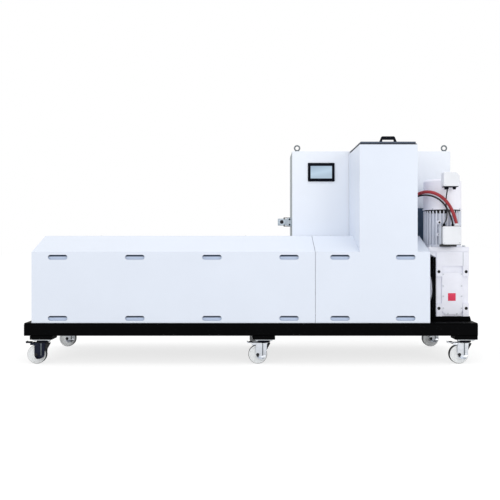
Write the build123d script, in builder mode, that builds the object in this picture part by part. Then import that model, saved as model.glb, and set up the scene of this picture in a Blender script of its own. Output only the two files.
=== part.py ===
from build123d import *
import os
from math import radians, tan

# Single screw extruder on a castor frame. Millimetres, +Z up, floor at Z = 0.
# +X is the drive end, -Y is the operator's side with the hood and the tower.

# Base frame
frame_length = 3000
frame_width = 800
beam_size = 80
beam_wall = 5
beam_corner = 8
beam_bottom = 190
end_cap_thickness = 4
deck_thickness = 5
cross_beam_shares = (-1, -0.46, 0.06, 1)

# Castors
castor_left_inset = 112
castor_right_inset = 75
castor_middle_x = 85
pad_length = 150
pad_width = 110
castor_plate_length = 120
castor_plate_width = 100
castor_plate_thickness = 5
plate_corner = 8
wheel_diameter = 125
wheel_width = 38
wheel_trail = 40
tread_depth = 6
tread_setback = 3
rim_depth = 9
web_thickness = 30
hub_diameter = 34
hub_length = 44
axle_diameter = 10
axle_head_width = 17
axle_head_height = 6
running_clearance = 0.05
seat_gap = 0.3
fork_inner_width = 52
fork_sheet = 4
fork_corner = 10
leg_end_radius = 22
leg_front_reach = 22
leg_rear_reach = 52
leg_top_depth = 12
ear_reach = 80
ear_depth = 15
bead_width = 9
bead_depth = 1.5
bead_setback = 8
bead_bottom = 84
bead_top = 124
crown_gap = 11
race_height = 9
race_lower_radius = 30
race_upper_radius = 25
kingpin_diameter = 12
rivet_head_diameter = 20
rivet_head_height = 5
pedal_pivot_back = 70
pedal_pivot_drop = 5
pedal_pin_diameter = 6
pedal_hub_diameter = 12
pedal_width = 38
pedal_reach = 42
pedal_sheet = 4
pedal_tip_rise = 12
pedal_tip_length = 10

# Hood over the barrel
hood_die_inset = 49
hood_drive_inset = 315
hood_front_inset = 5
hood_depth = 490
hood_front_height = 470
hood_height = 578
hood_slope_run = 278
sheet = 3
seam_to_tower = 293
seam_gap = 2
slot_length = 128
slot_height = 32
slot_low_rise = 31
slot_high_rise = 435
slots_left_count = 4
slots_left_margin = 173
slots_right_count = 2
slots_right_margin = 162
liner_depth = 25
liner_sheet = 1.5
liner_inset = 12

# Tower over the feed, with the hopper and its lid
tower_drive_gap = 83
tower_width = 383
tower_top = 1456
tower_lap = 10
rim_lip = 28
gasket_height = 8
gasket_width = 22
lid_thickness = 12.5
lid_side_inset = 7
lid_front_inset = 12
lid_rear_strip = 100
lid_joint_gap = 5
lid_corner = 10
handle_width = 114
handle_foot = 18
handle_slant = 14
handle_height = 36
handle_depth = 22
handle_gap = 14
handle_corner = 9
handle_set_back = 14
hinge_inset = 75
knuckle_diameter = 14
knuckle_length = 24
hinge_pin_diameter = 6
hinge_leaf = 3
hinge_leaf_reach = 36
knuckle_gap = 0.5

# Electrical cabinet
cabinet_drive_inset = 32
cabinet_width = 1168
cabinet_gap = 5
cabinet_height = 1205
cabinet_sheet = 2.5
door_thickness = 3
door_margin = 12
bezel_place_share = 0.522523
bezel_width = 197
bezel_height = 137
bezel_drop = 224
bezel_depth = 7
bezel_corner = 6
screen_width = 158
screen_height = 92
screen_recess = 2
eye_inset = 38
eye_setback = 30
eye_outer = 48
eye_inner = 28
eye_thickness = 12
eye_collar_diameter = 30
eye_collar_height = 8
connector_z = 958
connector_back = 60
connector_base_length = 34
connector_base_height = 64
connector_base_depth = 52
connector_reach = 104
connector_height = 52
connector_depth = 44
connector_corner = 8
connector_entry_outer = 50
connector_entry_bore = 28
connector_entry_length = 14
connector_entry_inset = 28

# Drive: gearbox, motor and its blower
axis_setback = 250
screw_z = 490
gearbox_gap = 69
gearbox_width = 226
gearbox_depth = 280
gearbox_bottom = 306
gearbox_top = 740
gearbox_head = 164
gearbox_foot = 88
gearbox_recess = 14
gearbox_column = 42
gearbox_corner = 10
gearbox_hole = 22
gearbox_hole_depth = 40
gearbox_hole_pitch_x = 185
gearbox_hole_pitch_z = 249
gearbox_hole_rise = 54
boss_diameter = 120
boss_length = 14
cover_margin = 42
cover_bottom_margin = 10
cover_height = 288
cover_thickness = 9
cover_chamfer = 26
pedestal_overhang = 14
pedestal_taper = 9
bracket_thickness = 12
bracket_setback = 4
bracket_bore_clearance = 2
motor_shift = 83
top_flange_size = 282
top_flange_height = 37
top_flange_corner = 12
neck_height = 34
neck_inset = 8
motor_flange_diameter = 250
motor_flange_height = 16
motor_diameter = 256
fin_depth = 18
fin_thickness = 6
fin_count = 32
motor_height = 255
end_shield_height = 8
end_shield_step = 3
cowl_seat_height = 6
saddle_width = 106
saddle_height = 108
saddle_standoff = 10
saddle_rise = 23
box_width = 126
box_height = 125
box_depth = 90
box_corner = 12
box_cover = 22
box_cover_inset = 2
box_rise = 15
cowl_diameter = 264
cowl_height = 211
cowl_sheet = 3
cowl_lip = 4
cowl_lip_height = 10
cowl_shoulder = 14
vent_count = 16
vent_inner = 34
vent_length = 66
vent_width = 9
blower_box_width = 106
blower_box_height = 94
blower_box_depth = 68
blower_box_overtop = 35
blower_box_chamfer = 24
blower_box_shift = 4
blower_saddle_width = 80
blower_saddle_height = 46
blower_saddle_standoff = 8

# Barrel and screw
screw_diameter = 45
screw_clearance = 0.1
screw_tip_length = 40
screw_tip_setback = 10
barrel_outer = 110
die_flange_diameter = 180
die_flange_thickness = 32
die_bolt_circle = 145
die_bolt_count = 8
die_bolt_hole = 12
die_bolt_depth = 24
die_opening_clearance = 10
shaft_opening_clearance = 12
feed_block_length = 150
feed_block_width = 140
feed_foot_length = 190
feed_foot_width = 200
feed_foot_plate = 16
feed_stem_width = 90
throat_length = 78
throat_width = 44
funnel_sheet = 3
weld_gap = 0.3
support_thickness = 16
support_width = 170
support_foot = 90
support_shares = (0.12, 0.6)

# Cables, held at both ends: route points chosen by hand, from the motor axis, the hood front and the floor
conduit_diameter = 23
motor_cable_diameter = 12
blower_cable_diameter = 8
gland_ratio_share = 1.3
bend_share = 0.45
conduit_route = [
    (-187, 465, 1090), (-190, 415, 1095), (-193, 355, 1105), (-191, 291, 1119), (-186, 223, 1136),
    (-171, 163, 1148), (-139, 123, 1153), (-91, 99, 1142), (-39, 89, 1108), (-1, 81, 1060), (23, 75, 1007),
    (37, 70, 962), (42, 68, 935),
]
motor_cable_route = [
    (-215, 465, 1072), (-216, 413, 1077), (-213, 352, 1086), (-208, 287, 1099), (-203, 219, 1116),
    (-187, 157, 1127), (-151, 117, 1131), (-101, 96, 1120), (-56, 87, 1091), (-22, 80, 1048), (0, 75, 999),
    (13, 70, 958), (17, 68, 935),
]
blower_cable_route = [
    (-15, 79, 1166), (-16, 84, 1146), (-17, 96, 1117), (-17, 107, 1085), (-13, 111, 1052), (-8, 111, 1019),
    (-8, 108, 988), (-15, 101, 962), (-26, 94, 945), (-34, 90, 935),
]
cut_overrun = 5

# Levels and places that follow from the sizes above
beam_top = beam_bottom + beam_size
deck_top = beam_top + deck_thickness
frame_half = frame_length / 2
side_half = frame_width / 2
wheel_radius = wheel_diameter / 2
pad_bottom = wheel_diameter + wheel_trail
plate_bottom = pad_bottom - castor_plate_thickness
crown_bottom = wheel_diameter + crown_gap
crown_top = crown_bottom + fork_sheet
race_top = crown_top + race_height
castor_y = side_half - pad_width / 2
hood_left = -frame_half + hood_die_inset
hood_right = frame_half - hood_drive_inset
tower_right = hood_right - tower_drive_gap
tower_left = tower_right - tower_width
seam_x = tower_left - seam_to_tower
castor_columns = (-frame_half + castor_left_inset, castor_middle_x, frame_half - castor_right_inset)
castor_places = [(x, y) for y in (-castor_y, castor_y) for x in castor_columns]
hood_front = -side_half + hood_front_inset
hood_back = hood_front + hood_depth
hood_top = deck_top + hood_height
shoulder_z = deck_top + hood_front_height
slope_top_y = hood_front + hood_slope_run
axis_y = hood_front + axis_setback
tower_x = (tower_left + tower_right) / 2
lid_bottom = tower_top + gasket_height + seat_gap
lid_top = lid_bottom + lid_thickness
lid_back = hood_back - lid_rear_strip
hinge_y = lid_back + lid_joint_gap
hinge_z = lid_top + knuckle_diameter / 2
cabinet_right = frame_half - cabinet_drive_inset
cabinet_left = cabinet_right - cabinet_width
cabinet_front = hood_back + cabinet_gap
cabinet_back = side_half
cabinet_depth = cabinet_back - cabinet_front
cabinet_top = deck_top + cabinet_height
bezel_bottom = cabinet_top - bezel_drop
gearbox_left = hood_right + gearbox_gap
gearbox_right = gearbox_left + gearbox_width
gearbox_x = gearbox_left + gearbox_width / 2
motor_x = gearbox_left + motor_shift
gearbox_front = axis_y - gearbox_depth / 2
gearbox_back = axis_y + gearbox_depth / 2
motor_bottom = gearbox_top + top_flange_height
motor_top = motor_bottom + motor_height
cowl_top = motor_top + cowl_height
saddle_front = axis_y - motor_diameter / 2 - saddle_standoff
box_front = saddle_front - box_depth
box_bottom = motor_bottom + box_rise
box_top = box_bottom + box_height
blower_saddle_front = axis_y - cowl_diameter / 2 - blower_saddle_standoff
blower_box_x = motor_x + blower_box_shift
blower_box_top = cowl_top + blower_box_overtop
blower_box_bottom = blower_box_top - blower_box_height
barrel_bore = screw_diameter + 2 * screw_clearance
feed_right = tower_x + feed_block_length / 2
feed_left = tower_x - feed_block_length / 2
feed_top = screw_z + feed_block_width / 2
feed_bottom = screw_z - feed_block_width / 2

os.makedirs("parts", exist_ok=True)


def front_plane(y):
    """Plane facing the operator at depth y, with local axes X and Z."""
    return Plane.XZ.offset(-y)


def side_plane(x):
    """Plane facing the drive end at x, with local axes Y and Z."""
    return Plane.YZ.offset(x)


def level(z):
    """Level plane at height z, with local axes X and Y."""
    return Plane.XY.offset(z)


def save(part, name):
    """Label a finished piece and write it as its own file."""
    part.label = name
    export_step(part, f"parts/{name}.step")


def outline_on(plane, points):
    """A closed straight-sided outline on a plane."""
    with BuildSketch(plane) as shape:
        with BuildLine():
            Polyline(*points, close=True)
        make_face()
    return shape.sketch


def rectangle_on(plane, low, high, corner=0):
    """A rectangle between two corners on a plane, with rounded corners where asked."""
    size = [b - a for a, b in zip(low, high)]
    middle = [(a + b) / 2 for a, b in zip(low, high)]
    with BuildSketch(plane) as shape:
        with Locations(tuple(middle)):
            if corner:
                RectangleRounded(*size, corner)
            else:
                Rectangle(*size)
    return shape.sketch


def disc_on(plane, centre, radius):
    """A round face on a plane."""
    with BuildSketch(plane) as shape:
        with Locations(centre):
            Circle(radius)
    return shape.sketch


# Base frame: two long tubes, four cross tubes, plugs in the open ends, a deck on top
def beam_section(plane, centre):
    """The hollow square section of the frame tube."""
    inner = beam_size - 2 * beam_wall
    with BuildSketch(plane) as section:
        with Locations(centre):
            RectangleRounded(beam_size, beam_size, beam_corner)
            RectangleRounded(inner, inner, beam_corner - beam_wall, mode=Mode.SUBTRACT)
    return section.sketch


beam_middle_z = beam_bottom + beam_size / 2
beam_y = side_half - beam_size / 2
tube_length = frame_length - 2 * end_cap_thickness
for beam_name, y in (("front_beam", -beam_y), ("rear_beam", beam_y)):
    with BuildPart() as beam:
        extrude(beam_section(side_plane(-tube_length / 2), (y, beam_middle_z)), amount=tube_length)
    save(beam.part, beam_name)

with BuildPart() as cross_beams:
    for share in cross_beam_shares:
        cross_x = share * (frame_half - end_cap_thickness - beam_size / 2)
        cross_length = frame_width - 2 * beam_size
        extrude(beam_section(front_plane(cross_length / 2), (cross_x, beam_middle_z)), amount=cross_length)
save(cross_beams.part, "cross_beams")

with BuildPart() as beam_end_caps:
    for x in (-frame_half, frame_half - end_cap_thickness):
        for y in (-beam_y, beam_y):
            with BuildSketch(side_plane(x)):
                with Locations((y, beam_middle_z)):
                    RectangleRounded(beam_size, beam_size, beam_corner)
            extrude(amount=end_cap_thickness)
save(beam_end_caps.part, "beam_end_caps")

with BuildPart() as deck_plate:
    with BuildSketch(level(beam_top)):
        RectangleRounded(frame_length, frame_width, beam_corner)
    extrude(amount=deck_thickness)
save(deck_plate.part, "deck_plate")

with BuildPart() as castor_pads:
    with BuildSketch(level(pad_bottom)):
        with Locations(*castor_places):
            RectangleRounded(pad_length, pad_width, plate_corner)
    extrude(amount=beam_bottom - pad_bottom)
save(castor_pads.part, "castor_pads")

# Castors: a riveted top plate with the upper race, a swivelling fork, a wheel and a brake pedal
with BuildPart() as castor_top_plates:
    with BuildSketch(level(plate_bottom)):
        with Locations(*castor_places):
            RectangleRounded(castor_plate_length, castor_plate_width, plate_corner)
    extrude(amount=castor_plate_thickness)
    for place in castor_places:
        race_low = disc_on(level(race_top + seat_gap), place, race_upper_radius)
        race_high = disc_on(level(plate_bottom), place, race_lower_radius)
        loft([race_low, race_high])
        pin = disc_on(level(crown_bottom - seat_gap), place, kingpin_diameter / 2)
        extrude(pin, amount=plate_bottom - crown_bottom + seat_gap)
        head = disc_on(level(crown_bottom - seat_gap), place, rivet_head_diameter / 2)
        extrude(head, amount=-rivet_head_height)
save(castor_top_plates.part, "castor_top_plates")

fork_half = fork_inner_width / 2
pedal_pivot = (-pedal_pivot_back, crown_top - pedal_pivot_drop)
with BuildPart() as fork:
    with BuildSketch(level(crown_bottom)):
        with Locations(((leg_front_reach - race_lower_radius) / 2, 0)):
            RectangleRounded(leg_front_reach + race_lower_radius + fork_corner,
                             fork_inner_width + fork_sheet, fork_corner)
    extrude(amount=fork_sheet)
    for y in (-fork_half, fork_half + fork_sheet):
        with BuildSketch(front_plane(y)) as leg:
            with Locations((-wheel_trail, wheel_radius)):
                Circle(leg_end_radius)
            with Locations(((leg_front_reach - leg_rear_reach) / 2, crown_top - leg_top_depth / 2)):
                Rectangle(leg_front_reach + leg_rear_reach, leg_top_depth)
            make_hull()
            with Locations((-ear_reach / 2, crown_top - ear_depth / 2)):
                RectangleRounded(ear_reach, ear_depth, leg_top_depth / 2)
        extrude(amount=fork_sheet)
    bead_middle = (-bead_setback, (bead_top + bead_bottom) / 2)
    for y in (-fork_half - fork_sheet + bead_depth, fork_half + fork_sheet):
        with BuildSketch(front_plane(y)) as bead:
            with Locations(Location((*bead_middle, 0), (0, 0, 90))):
                SlotOverall(bead_top - bead_bottom, bead_width)
        extrude(bead.sketch, amount=bead_depth, mode=Mode.SUBTRACT)
    extrude(disc_on(front_plane(fork_half), (-wheel_trail, wheel_radius), axle_diameter / 2),
            amount=fork_inner_width)
    extrude(disc_on(front_plane(fork_half), pedal_pivot, pedal_pin_diameter / 2), amount=fork_inner_width)
    for y in (-fork_half - fork_sheet, fork_half + fork_sheet + axle_head_height):
        with BuildSketch(front_plane(y)):
            with Locations((-wheel_trail, wheel_radius)):
                RegularPolygon(axle_head_width / 2, 6)
        extrude(amount=axle_head_height)
    loft([disc_on(level(crown_top), (0, 0), race_lower_radius),
          disc_on(level(race_top), (0, 0), race_upper_radius)])
    with Locations((0, 0, race_top)):
        Hole(kingpin_diameter / 2 + running_clearance, depth=race_height + 2 * fork_sheet)

with BuildPart() as wheel:
    with BuildSketch(side_plane(-wheel_trail)):
        with BuildLine():
            bore_r = axle_diameter / 2 + running_clearance
            hub_r = hub_diameter / 2
            tread_r = wheel_radius - tread_depth
            rim_r = tread_r - rim_depth
            Polyline(
                (0, wheel_radius + bore_r),
                (hub_length / 2, wheel_radius + bore_r),
                (hub_length / 2, wheel_radius + hub_r),
                (web_thickness / 2, wheel_radius + hub_r),
                (web_thickness / 2, wheel_radius + rim_r),
                (wheel_width / 2, wheel_radius + rim_r),
                (wheel_width / 2, wheel_radius + tread_r),
                (wheel_width / 2 - tread_setback, wheel_radius + tread_r),
                (wheel_width / 2 - 2 * tread_setback, wheel_diameter),
                (0, wheel_diameter),
                close=True,
            )
        make_face()
        mirror(about=Plane.YZ)
    revolve(axis=Axis((-wheel_trail, 0, wheel_radius), (0, 1, 0)))

with BuildPart() as pedal:
    hub_z = pedal_pivot[1]
    reach_x = pedal_pivot[0] - pedal_reach
    hub_radius = pedal_hub_diameter / 2
    with BuildSketch(front_plane(pedal_width / 2)):
        with Locations(pedal_pivot):
            Circle(hub_radius)
        with BuildLine():
            Polyline(
                (pedal_pivot[0], hub_z + hub_radius),
                (reach_x + pedal_tip_length, hub_z + hub_radius),
                (reach_x, hub_z + hub_radius + pedal_tip_rise - pedal_sheet),
                (reach_x, hub_z + hub_radius - pedal_sheet),
                (reach_x + pedal_tip_length, hub_z + hub_radius - pedal_sheet),
                (pedal_pivot[0], hub_z + hub_radius - pedal_sheet),
                close=True,
            )
        make_face()
        with Locations(pedal_pivot):
            Circle(pedal_pin_diameter / 2 + running_clearance, mode=Mode.SUBTRACT)
    extrude(amount=pedal_width)

for number, (x, y) in enumerate(castor_places, start=1):
    place = Location((x, y, 0))
    save(fork.part.moved(place), f"castor_fork_{number}")
    save(wheel.part.moved(place), f"castor_wheel_{number}")
    save(pedal.part.moved(place), f"brake_pedal_{number}")

# Hood: one bent outline of sheet, cut into a front, a slope, a top and a rear panel
hood_outer = [
    (hood_front, deck_top), (hood_front, shoulder_z), (slope_top_y, hood_top),
    (hood_back, hood_top), (hood_back, deck_top),
]
slope_angle = Vector(hood_slope_run, hood_top - shoulder_z).get_angle(Vector(1, 0))
shoulder_step = sheet * tan(radians((90 - slope_angle) / 2))
ridge_step = sheet * tan(radians(slope_angle / 2))
hood_inner = [
    (hood_front + sheet, deck_top), (hood_front + sheet, shoulder_z - shoulder_step),
    (slope_top_y + ridge_step, hood_top - sheet), (hood_back - sheet, hood_top - sheet),
    (hood_back - sheet, deck_top),
]


def hood_strip(index, left, right):
    """Add one flat of the bent hood outline between two places along the machine."""
    corners = [hood_outer[index], hood_outer[index + 1], hood_inner[index + 1], hood_inner[index]]
    extrude(outline_on(side_plane(left), corners), amount=right - left)


def slot_places(left, right, count, margin):
    """Centres of the two rows of vent slots in one front panel."""
    pitch = (right - left - 2 * margin) / (count - 1)
    rows = (deck_top + slot_low_rise, deck_top + slot_high_rise)
    return [(left + margin + pitch * column, z) for z in rows for column in range(count)]


def cut_slots(places):
    """Cut obround vent slots through a front panel."""
    with BuildSketch(front_plane(hood_front - cut_overrun)) as slots:
        with Locations(*places):
            SlotOverall(slot_length, slot_height)
    extrude(slots.sketch, amount=-sheet - 2 * cut_overrun, mode=Mode.SUBTRACT)


seam_left = seam_x - seam_gap / 2
seam_right = seam_x + seam_gap / 2
with BuildPart() as front_panel_left:
    hood_strip(0, hood_left, seam_left)
    cut_slots(slot_places(hood_left, seam_left, slots_left_count, slots_left_margin))
save(front_panel_left.part, "front_panel_left")

with BuildPart() as front_panel_right:
    hood_strip(0, seam_right, hood_right)
    tower_face = rectangle_on(front_plane(hood_front), (tower_left, shoulder_z - sheet), (tower_right, tower_top))
    extrude(tower_face, amount=-sheet)
    cut_slots(slot_places(seam_right, hood_right, slots_right_count, slots_right_margin))
save(front_panel_right.part, "front_panel_right")

with BuildPart() as slope_panels:
    for left, right in ((hood_left, seam_left), (seam_right, tower_left), (tower_right, hood_right)):
        hood_strip(1, left, right)
save(slope_panels.part, "slope_panels")

with BuildPart() as top_panels:
    for left, right in ((hood_left, seam_left), (seam_right, tower_left), (tower_right, hood_right)):
        hood_strip(2, left, right)
save(top_panels.part, "top_panels")

with BuildPart() as rear_panel:
    hood_strip(3, hood_left, hood_right)
    behind_tower = rectangle_on(front_plane(hood_back), (tower_left, hood_top - tower_lap), (tower_right, hood_top))
    extrude(behind_tower, amount=sheet, mode=Mode.SUBTRACT)
    rear_slots = slot_places(hood_left, seam_left, slots_left_count, slots_left_margin)
    with BuildSketch(front_plane(hood_back + cut_overrun)) as slots:
        with Locations(*[(x, z) for x, z in rear_slots if x + slot_length < cabinet_left]):
            SlotOverall(slot_length, slot_height)
    extrude(slots.sketch, amount=sheet + 2 * cut_overrun, mode=Mode.SUBTRACT)
save(rear_panel.part, "rear_panel")

with BuildPart() as end_panel_die:
    extrude(outline_on(side_plane(hood_left), hood_inner), amount=sheet)
    die_hole = disc_on(side_plane(hood_left), (axis_y, screw_z), die_flange_diameter / 2 + die_opening_clearance)
    extrude(die_hole, amount=sheet, mode=Mode.SUBTRACT)
save(end_panel_die.part, "end_panel_die")

with BuildPart() as end_panel_drive:
    extrude(outline_on(side_plane(hood_right), hood_inner), amount=-sheet)
    shaft_hole = disc_on(side_plane(hood_right), (axis_y, screw_z), screw_diameter / 2 + shaft_opening_clearance)
    extrude(shaft_hole, amount=-sheet, mode=Mode.SUBTRACT)
save(end_panel_drive.part, "end_panel_drive")

with BuildPart() as vent_liner:
    liner_front = hood_front + sheet
    for left, right in ((hood_left + sheet, seam_left), (seam_right, hood_right - sheet)):
        low = (left + liner_inset, deck_top)
        high = (right - liner_inset, shoulder_z - shoulder_step - liner_inset)
        inner_low = tuple(value + liner_sheet for value in low)
        inner_high = tuple(value - liner_sheet for value in high)
        extrude(rectangle_on(front_plane(liner_front), low, high), amount=-liner_depth)
        extrude(rectangle_on(front_plane(liner_front), inner_low, inner_high),
                amount=liner_sheet - liner_depth, mode=Mode.SUBTRACT)
save(vent_liner.part, "vent_liner")

# Tower: folded sides and back behind the tall front panel, a hopper inside, a hinged lid
with BuildPart() as tower_shell:
    wall_outline = [
        (hood_front + sheet, shoulder_z - shoulder_step - tower_lap), (hood_front + sheet, tower_top),
        (hood_back, tower_top), (hood_back, hood_top - tower_lap), (slope_top_y, hood_top - tower_lap),
    ]
    extrude(outline_on(side_plane(tower_left), wall_outline), amount=sheet)
    extrude(outline_on(side_plane(tower_right), wall_outline), amount=-sheet)
    back_low = (tower_left + sheet, hood_top - tower_lap)
    extrude(rectangle_on(front_plane(hood_back), back_low, (tower_right - sheet, tower_top)), amount=sheet)
save(tower_shell.part, "tower_shell")

mouth_left = tower_left + rim_lip
mouth_right = tower_right - rim_lip
mouth_front = hood_front + rim_lip
mouth_back = lid_back - rim_lip
throat_low = (tower_x - throat_length / 2, axis_y - throat_width / 2)
throat_high = (tower_x + throat_length / 2, axis_y + throat_width / 2)


def funnel_walls(low, high):
    """Footprints of the four hopper walls round an opening: front, back, left and right."""
    left, front = low
    right, back = high
    return [
        ((left - funnel_sheet, front - funnel_sheet), (right + funnel_sheet, front)),
        ((left - funnel_sheet, back), (right + funnel_sheet, back + funnel_sheet)),
        ((left - funnel_sheet, front + weld_gap), (left, back - weld_gap)),
        ((right, front + weld_gap), (right + funnel_sheet, back - weld_gap)),
    ]


with BuildPart() as hopper_funnel:
    rim_low = (tower_left + sheet, hood_front + sheet)
    rim_high = (tower_right - sheet, hood_back - sheet)
    rim_strips = [
        (rim_low, (rim_high[0], mouth_front)),
        ((rim_low[0], mouth_back), rim_high),
        ((rim_low[0], mouth_front + weld_gap), (mouth_left, mouth_back - weld_gap)),
        ((mouth_right, mouth_front + weld_gap), (rim_high[0], mouth_back - weld_gap)),
    ]
    for low, high in rim_strips:
        extrude(rectangle_on(level(tower_top), low, high), amount=-funnel_sheet)
    wall_tops = funnel_walls((mouth_left, mouth_front), (mouth_right, mouth_back))
    wall_feet = funnel_walls(throat_low, throat_high)
    for head, foot in zip(wall_tops, wall_feet):
        loft([rectangle_on(level(feed_top), *foot), rectangle_on(level(tower_top - funnel_sheet - weld_gap), *head)])
save(hopper_funnel.part, "hopper_funnel")

with BuildPart() as lid_gasket:
    gasket_low = (mouth_left - gasket_width, mouth_front - gasket_width / 2)
    gasket_high = (mouth_right + gasket_width, mouth_back + gasket_width / 2)
    extrude(rectangle_on(level(tower_top), gasket_low, gasket_high, lid_corner), amount=gasket_height)
    extrude(rectangle_on(level(tower_top), (mouth_left, mouth_front), (mouth_right, mouth_back)),
            amount=gasket_height, mode=Mode.SUBTRACT)
save(lid_gasket.part, "lid_gasket")

hinge_places = (tower_left + hinge_inset, tower_right - hinge_inset)
knuckle_radius = knuckle_diameter / 2
with BuildPart() as lid:
    lid_low = (tower_left + lid_side_inset, hood_front + lid_front_inset)
    lid_high = (tower_right - lid_side_inset, lid_back)
    extrude(rectangle_on(level(lid_bottom), lid_low, lid_high, lid_corner), amount=lid_thickness)
    fillet(lid.edges().group_by(Axis.Z)[-1], lid_corner / 4)
    for x in hinge_places:
        start = side_plane(x - knuckle_length / 2)
        extrude(disc_on(start, (hinge_y, hinge_z), knuckle_radius), amount=knuckle_length)
        leaf_low = (hinge_y - hinge_leaf_reach, lid_top)
        extrude(rectangle_on(start, leaf_low, (hinge_y, lid_top + hinge_leaf)), amount=knuckle_length)
        pin_hole = disc_on(start, (hinge_y, hinge_z), hinge_pin_diameter / 2 + running_clearance)
        extrude(pin_hole, amount=knuckle_length, mode=Mode.SUBTRACT)
save(lid.part, "lid")

with BuildPart() as lid_handle:
    grip_half = handle_width / 2
    with BuildSketch(front_plane(hood_front + handle_set_back)) as bridge:
        with BuildLine():
            FilletPolyline(
                (tower_x - grip_half, lid_top), (tower_x - grip_half + handle_slant, lid_top + handle_height),
                (tower_x + grip_half - handle_slant, lid_top + handle_height), (tower_x + grip_half, lid_top),
                radius=handle_corner,
            )
            Line((tower_x + grip_half, lid_top), (tower_x - grip_half, lid_top))
        make_face()
        with Locations((tower_x, lid_top)):
            RectangleRounded(handle_width - 2 * handle_foot, 2 * handle_gap, handle_corner / 2, mode=Mode.SUBTRACT)
    extrude(amount=-handle_depth)
    fillet(lid_handle.edges().filter_by(Axis.X).group_by(Axis.Z)[-1], handle_corner / 2)
save(lid_handle.part, "lid_handle")

with BuildPart() as lid_hinge:
    strip_low = (tower_left + lid_side_inset, hinge_y + lid_joint_gap)
    strip_high = (tower_right - lid_side_inset, hood_back)
    extrude(rectangle_on(level(tower_top), strip_low, strip_high, lid_corner / 2), amount=lid_top - tower_top)
    for x in hinge_places:
        for left in (x - knuckle_length * 3 / 2 - knuckle_gap, x + knuckle_length / 2 + knuckle_gap):
            start = side_plane(left)
            extrude(disc_on(start, (hinge_y, hinge_z), knuckle_radius), amount=knuckle_length)
            leaf_high = (hinge_y + hinge_leaf_reach, lid_top + hinge_leaf)
            extrude(rectangle_on(start, (hinge_y, lid_top), leaf_high), amount=knuckle_length)
        pin_start = side_plane(x - knuckle_length)
        extrude(disc_on(pin_start, (hinge_y, hinge_z), hinge_pin_diameter / 2), amount=2 * knuckle_length)
save(lid_hinge.part, "lid_hinge")

# Electrical cabinet behind the drive end
with BuildPart() as cabinet_body:
    extrude(rectangle_on(level(deck_top), (cabinet_left, cabinet_front), (cabinet_right, cabinet_back - door_thickness)),
            amount=cabinet_height)
    inner_low = (cabinet_left + cabinet_sheet, deck_top + cabinet_sheet)
    inner_high = (cabinet_right - cabinet_sheet, cabinet_top - cabinet_sheet)
    extrude(rectangle_on(front_plane(cabinet_front + cabinet_sheet), inner_low, inner_high),
            amount=-cabinet_depth, mode=Mode.SUBTRACT)
save(cabinet_body.part, "cabinet_body")

with BuildPart() as cabinet_doors:
    cabinet_x = cabinet_left + cabinet_width / 2
    for left, right in ((cabinet_left, cabinet_x - seam_gap / 2), (cabinet_x + seam_gap / 2, cabinet_right)):
        extrude(rectangle_on(front_plane(cabinet_back), (left, deck_top + door_margin), (right, cabinet_top)),
                amount=door_thickness)
save(cabinet_doors.part, "cabinet_doors")

bezel_left = cabinet_left + bezel_place_share * (tower_left - cabinet_left - bezel_width)
bezel_x = bezel_left + bezel_width / 2
bezel_z = bezel_bottom + bezel_height / 2
with BuildPart() as hmi_bezel:
    with BuildSketch(front_plane(cabinet_front)):
        with Locations((bezel_x, bezel_z)):
            RectangleRounded(bezel_width, bezel_height, bezel_corner)
    extrude(amount=bezel_depth)
    with BuildSketch(front_plane(cabinet_front - bezel_depth)):
        with Locations((bezel_x, bezel_z)):
            Rectangle(screen_width, screen_height)
    extrude(amount=-screen_recess * 2, mode=Mode.SUBTRACT)
save(hmi_bezel.part, "hmi_bezel")

with BuildPart() as hmi_screen:
    with BuildSketch(front_plane(cabinet_front - bezel_depth + 2 * screen_recess)):
        with Locations((bezel_x, bezel_z)):
            Rectangle(screen_width, screen_height)
    extrude(amount=screen_recess)
save(hmi_screen.part, "hmi_screen")

with BuildPart() as lifting_eyes:
    eye_y = cabinet_front + eye_setback
    eye_z = cabinet_top + eye_collar_height + eye_outer / 2 - eye_thickness / 2
    for x in (cabinet_left + eye_inset, cabinet_right - eye_inset):
        extrude(disc_on(level(cabinet_top), (x, eye_y), eye_collar_diameter / 2), amount=eye_collar_height)
        start = front_plane(eye_y + eye_thickness / 2)
        extrude(disc_on(start, (x, eye_z), eye_outer / 2), amount=eye_thickness)
        extrude(disc_on(start, (x, eye_z), eye_inner / 2), amount=eye_thickness, mode=Mode.SUBTRACT)
save(lifting_eyes.part, "lifting_eyes")

with BuildPart() as side_connector:
    connector_y = cabinet_front + connector_back
    with BuildSketch(side_plane(cabinet_left)):
        with Locations((connector_y, connector_z)):
            RectangleRounded(connector_base_depth, connector_base_height, connector_corner)
    extrude(amount=-connector_base_length)
    with BuildSketch(side_plane(cabinet_left - connector_base_length)):
        with Locations((connector_y, connector_z)):
            RectangleRounded(connector_depth, connector_height, connector_corner)
    extrude(amount=connector_base_length - connector_reach)
    entry = (cabinet_left - connector_reach + connector_entry_inset, connector_z)
    entry_plane = front_plane(connector_y - connector_depth / 2)
    extrude(disc_on(entry_plane, entry, connector_entry_outer / 2), amount=connector_entry_length)
    entry_mouth = front_plane(connector_y - connector_depth / 2 - connector_entry_length)
    extrude(disc_on(entry_mouth, entry, connector_entry_bore / 2),
            amount=-connector_entry_length - connector_depth / 2, mode=Mode.SUBTRACT)
save(side_connector.part, "side_connector")

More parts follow.
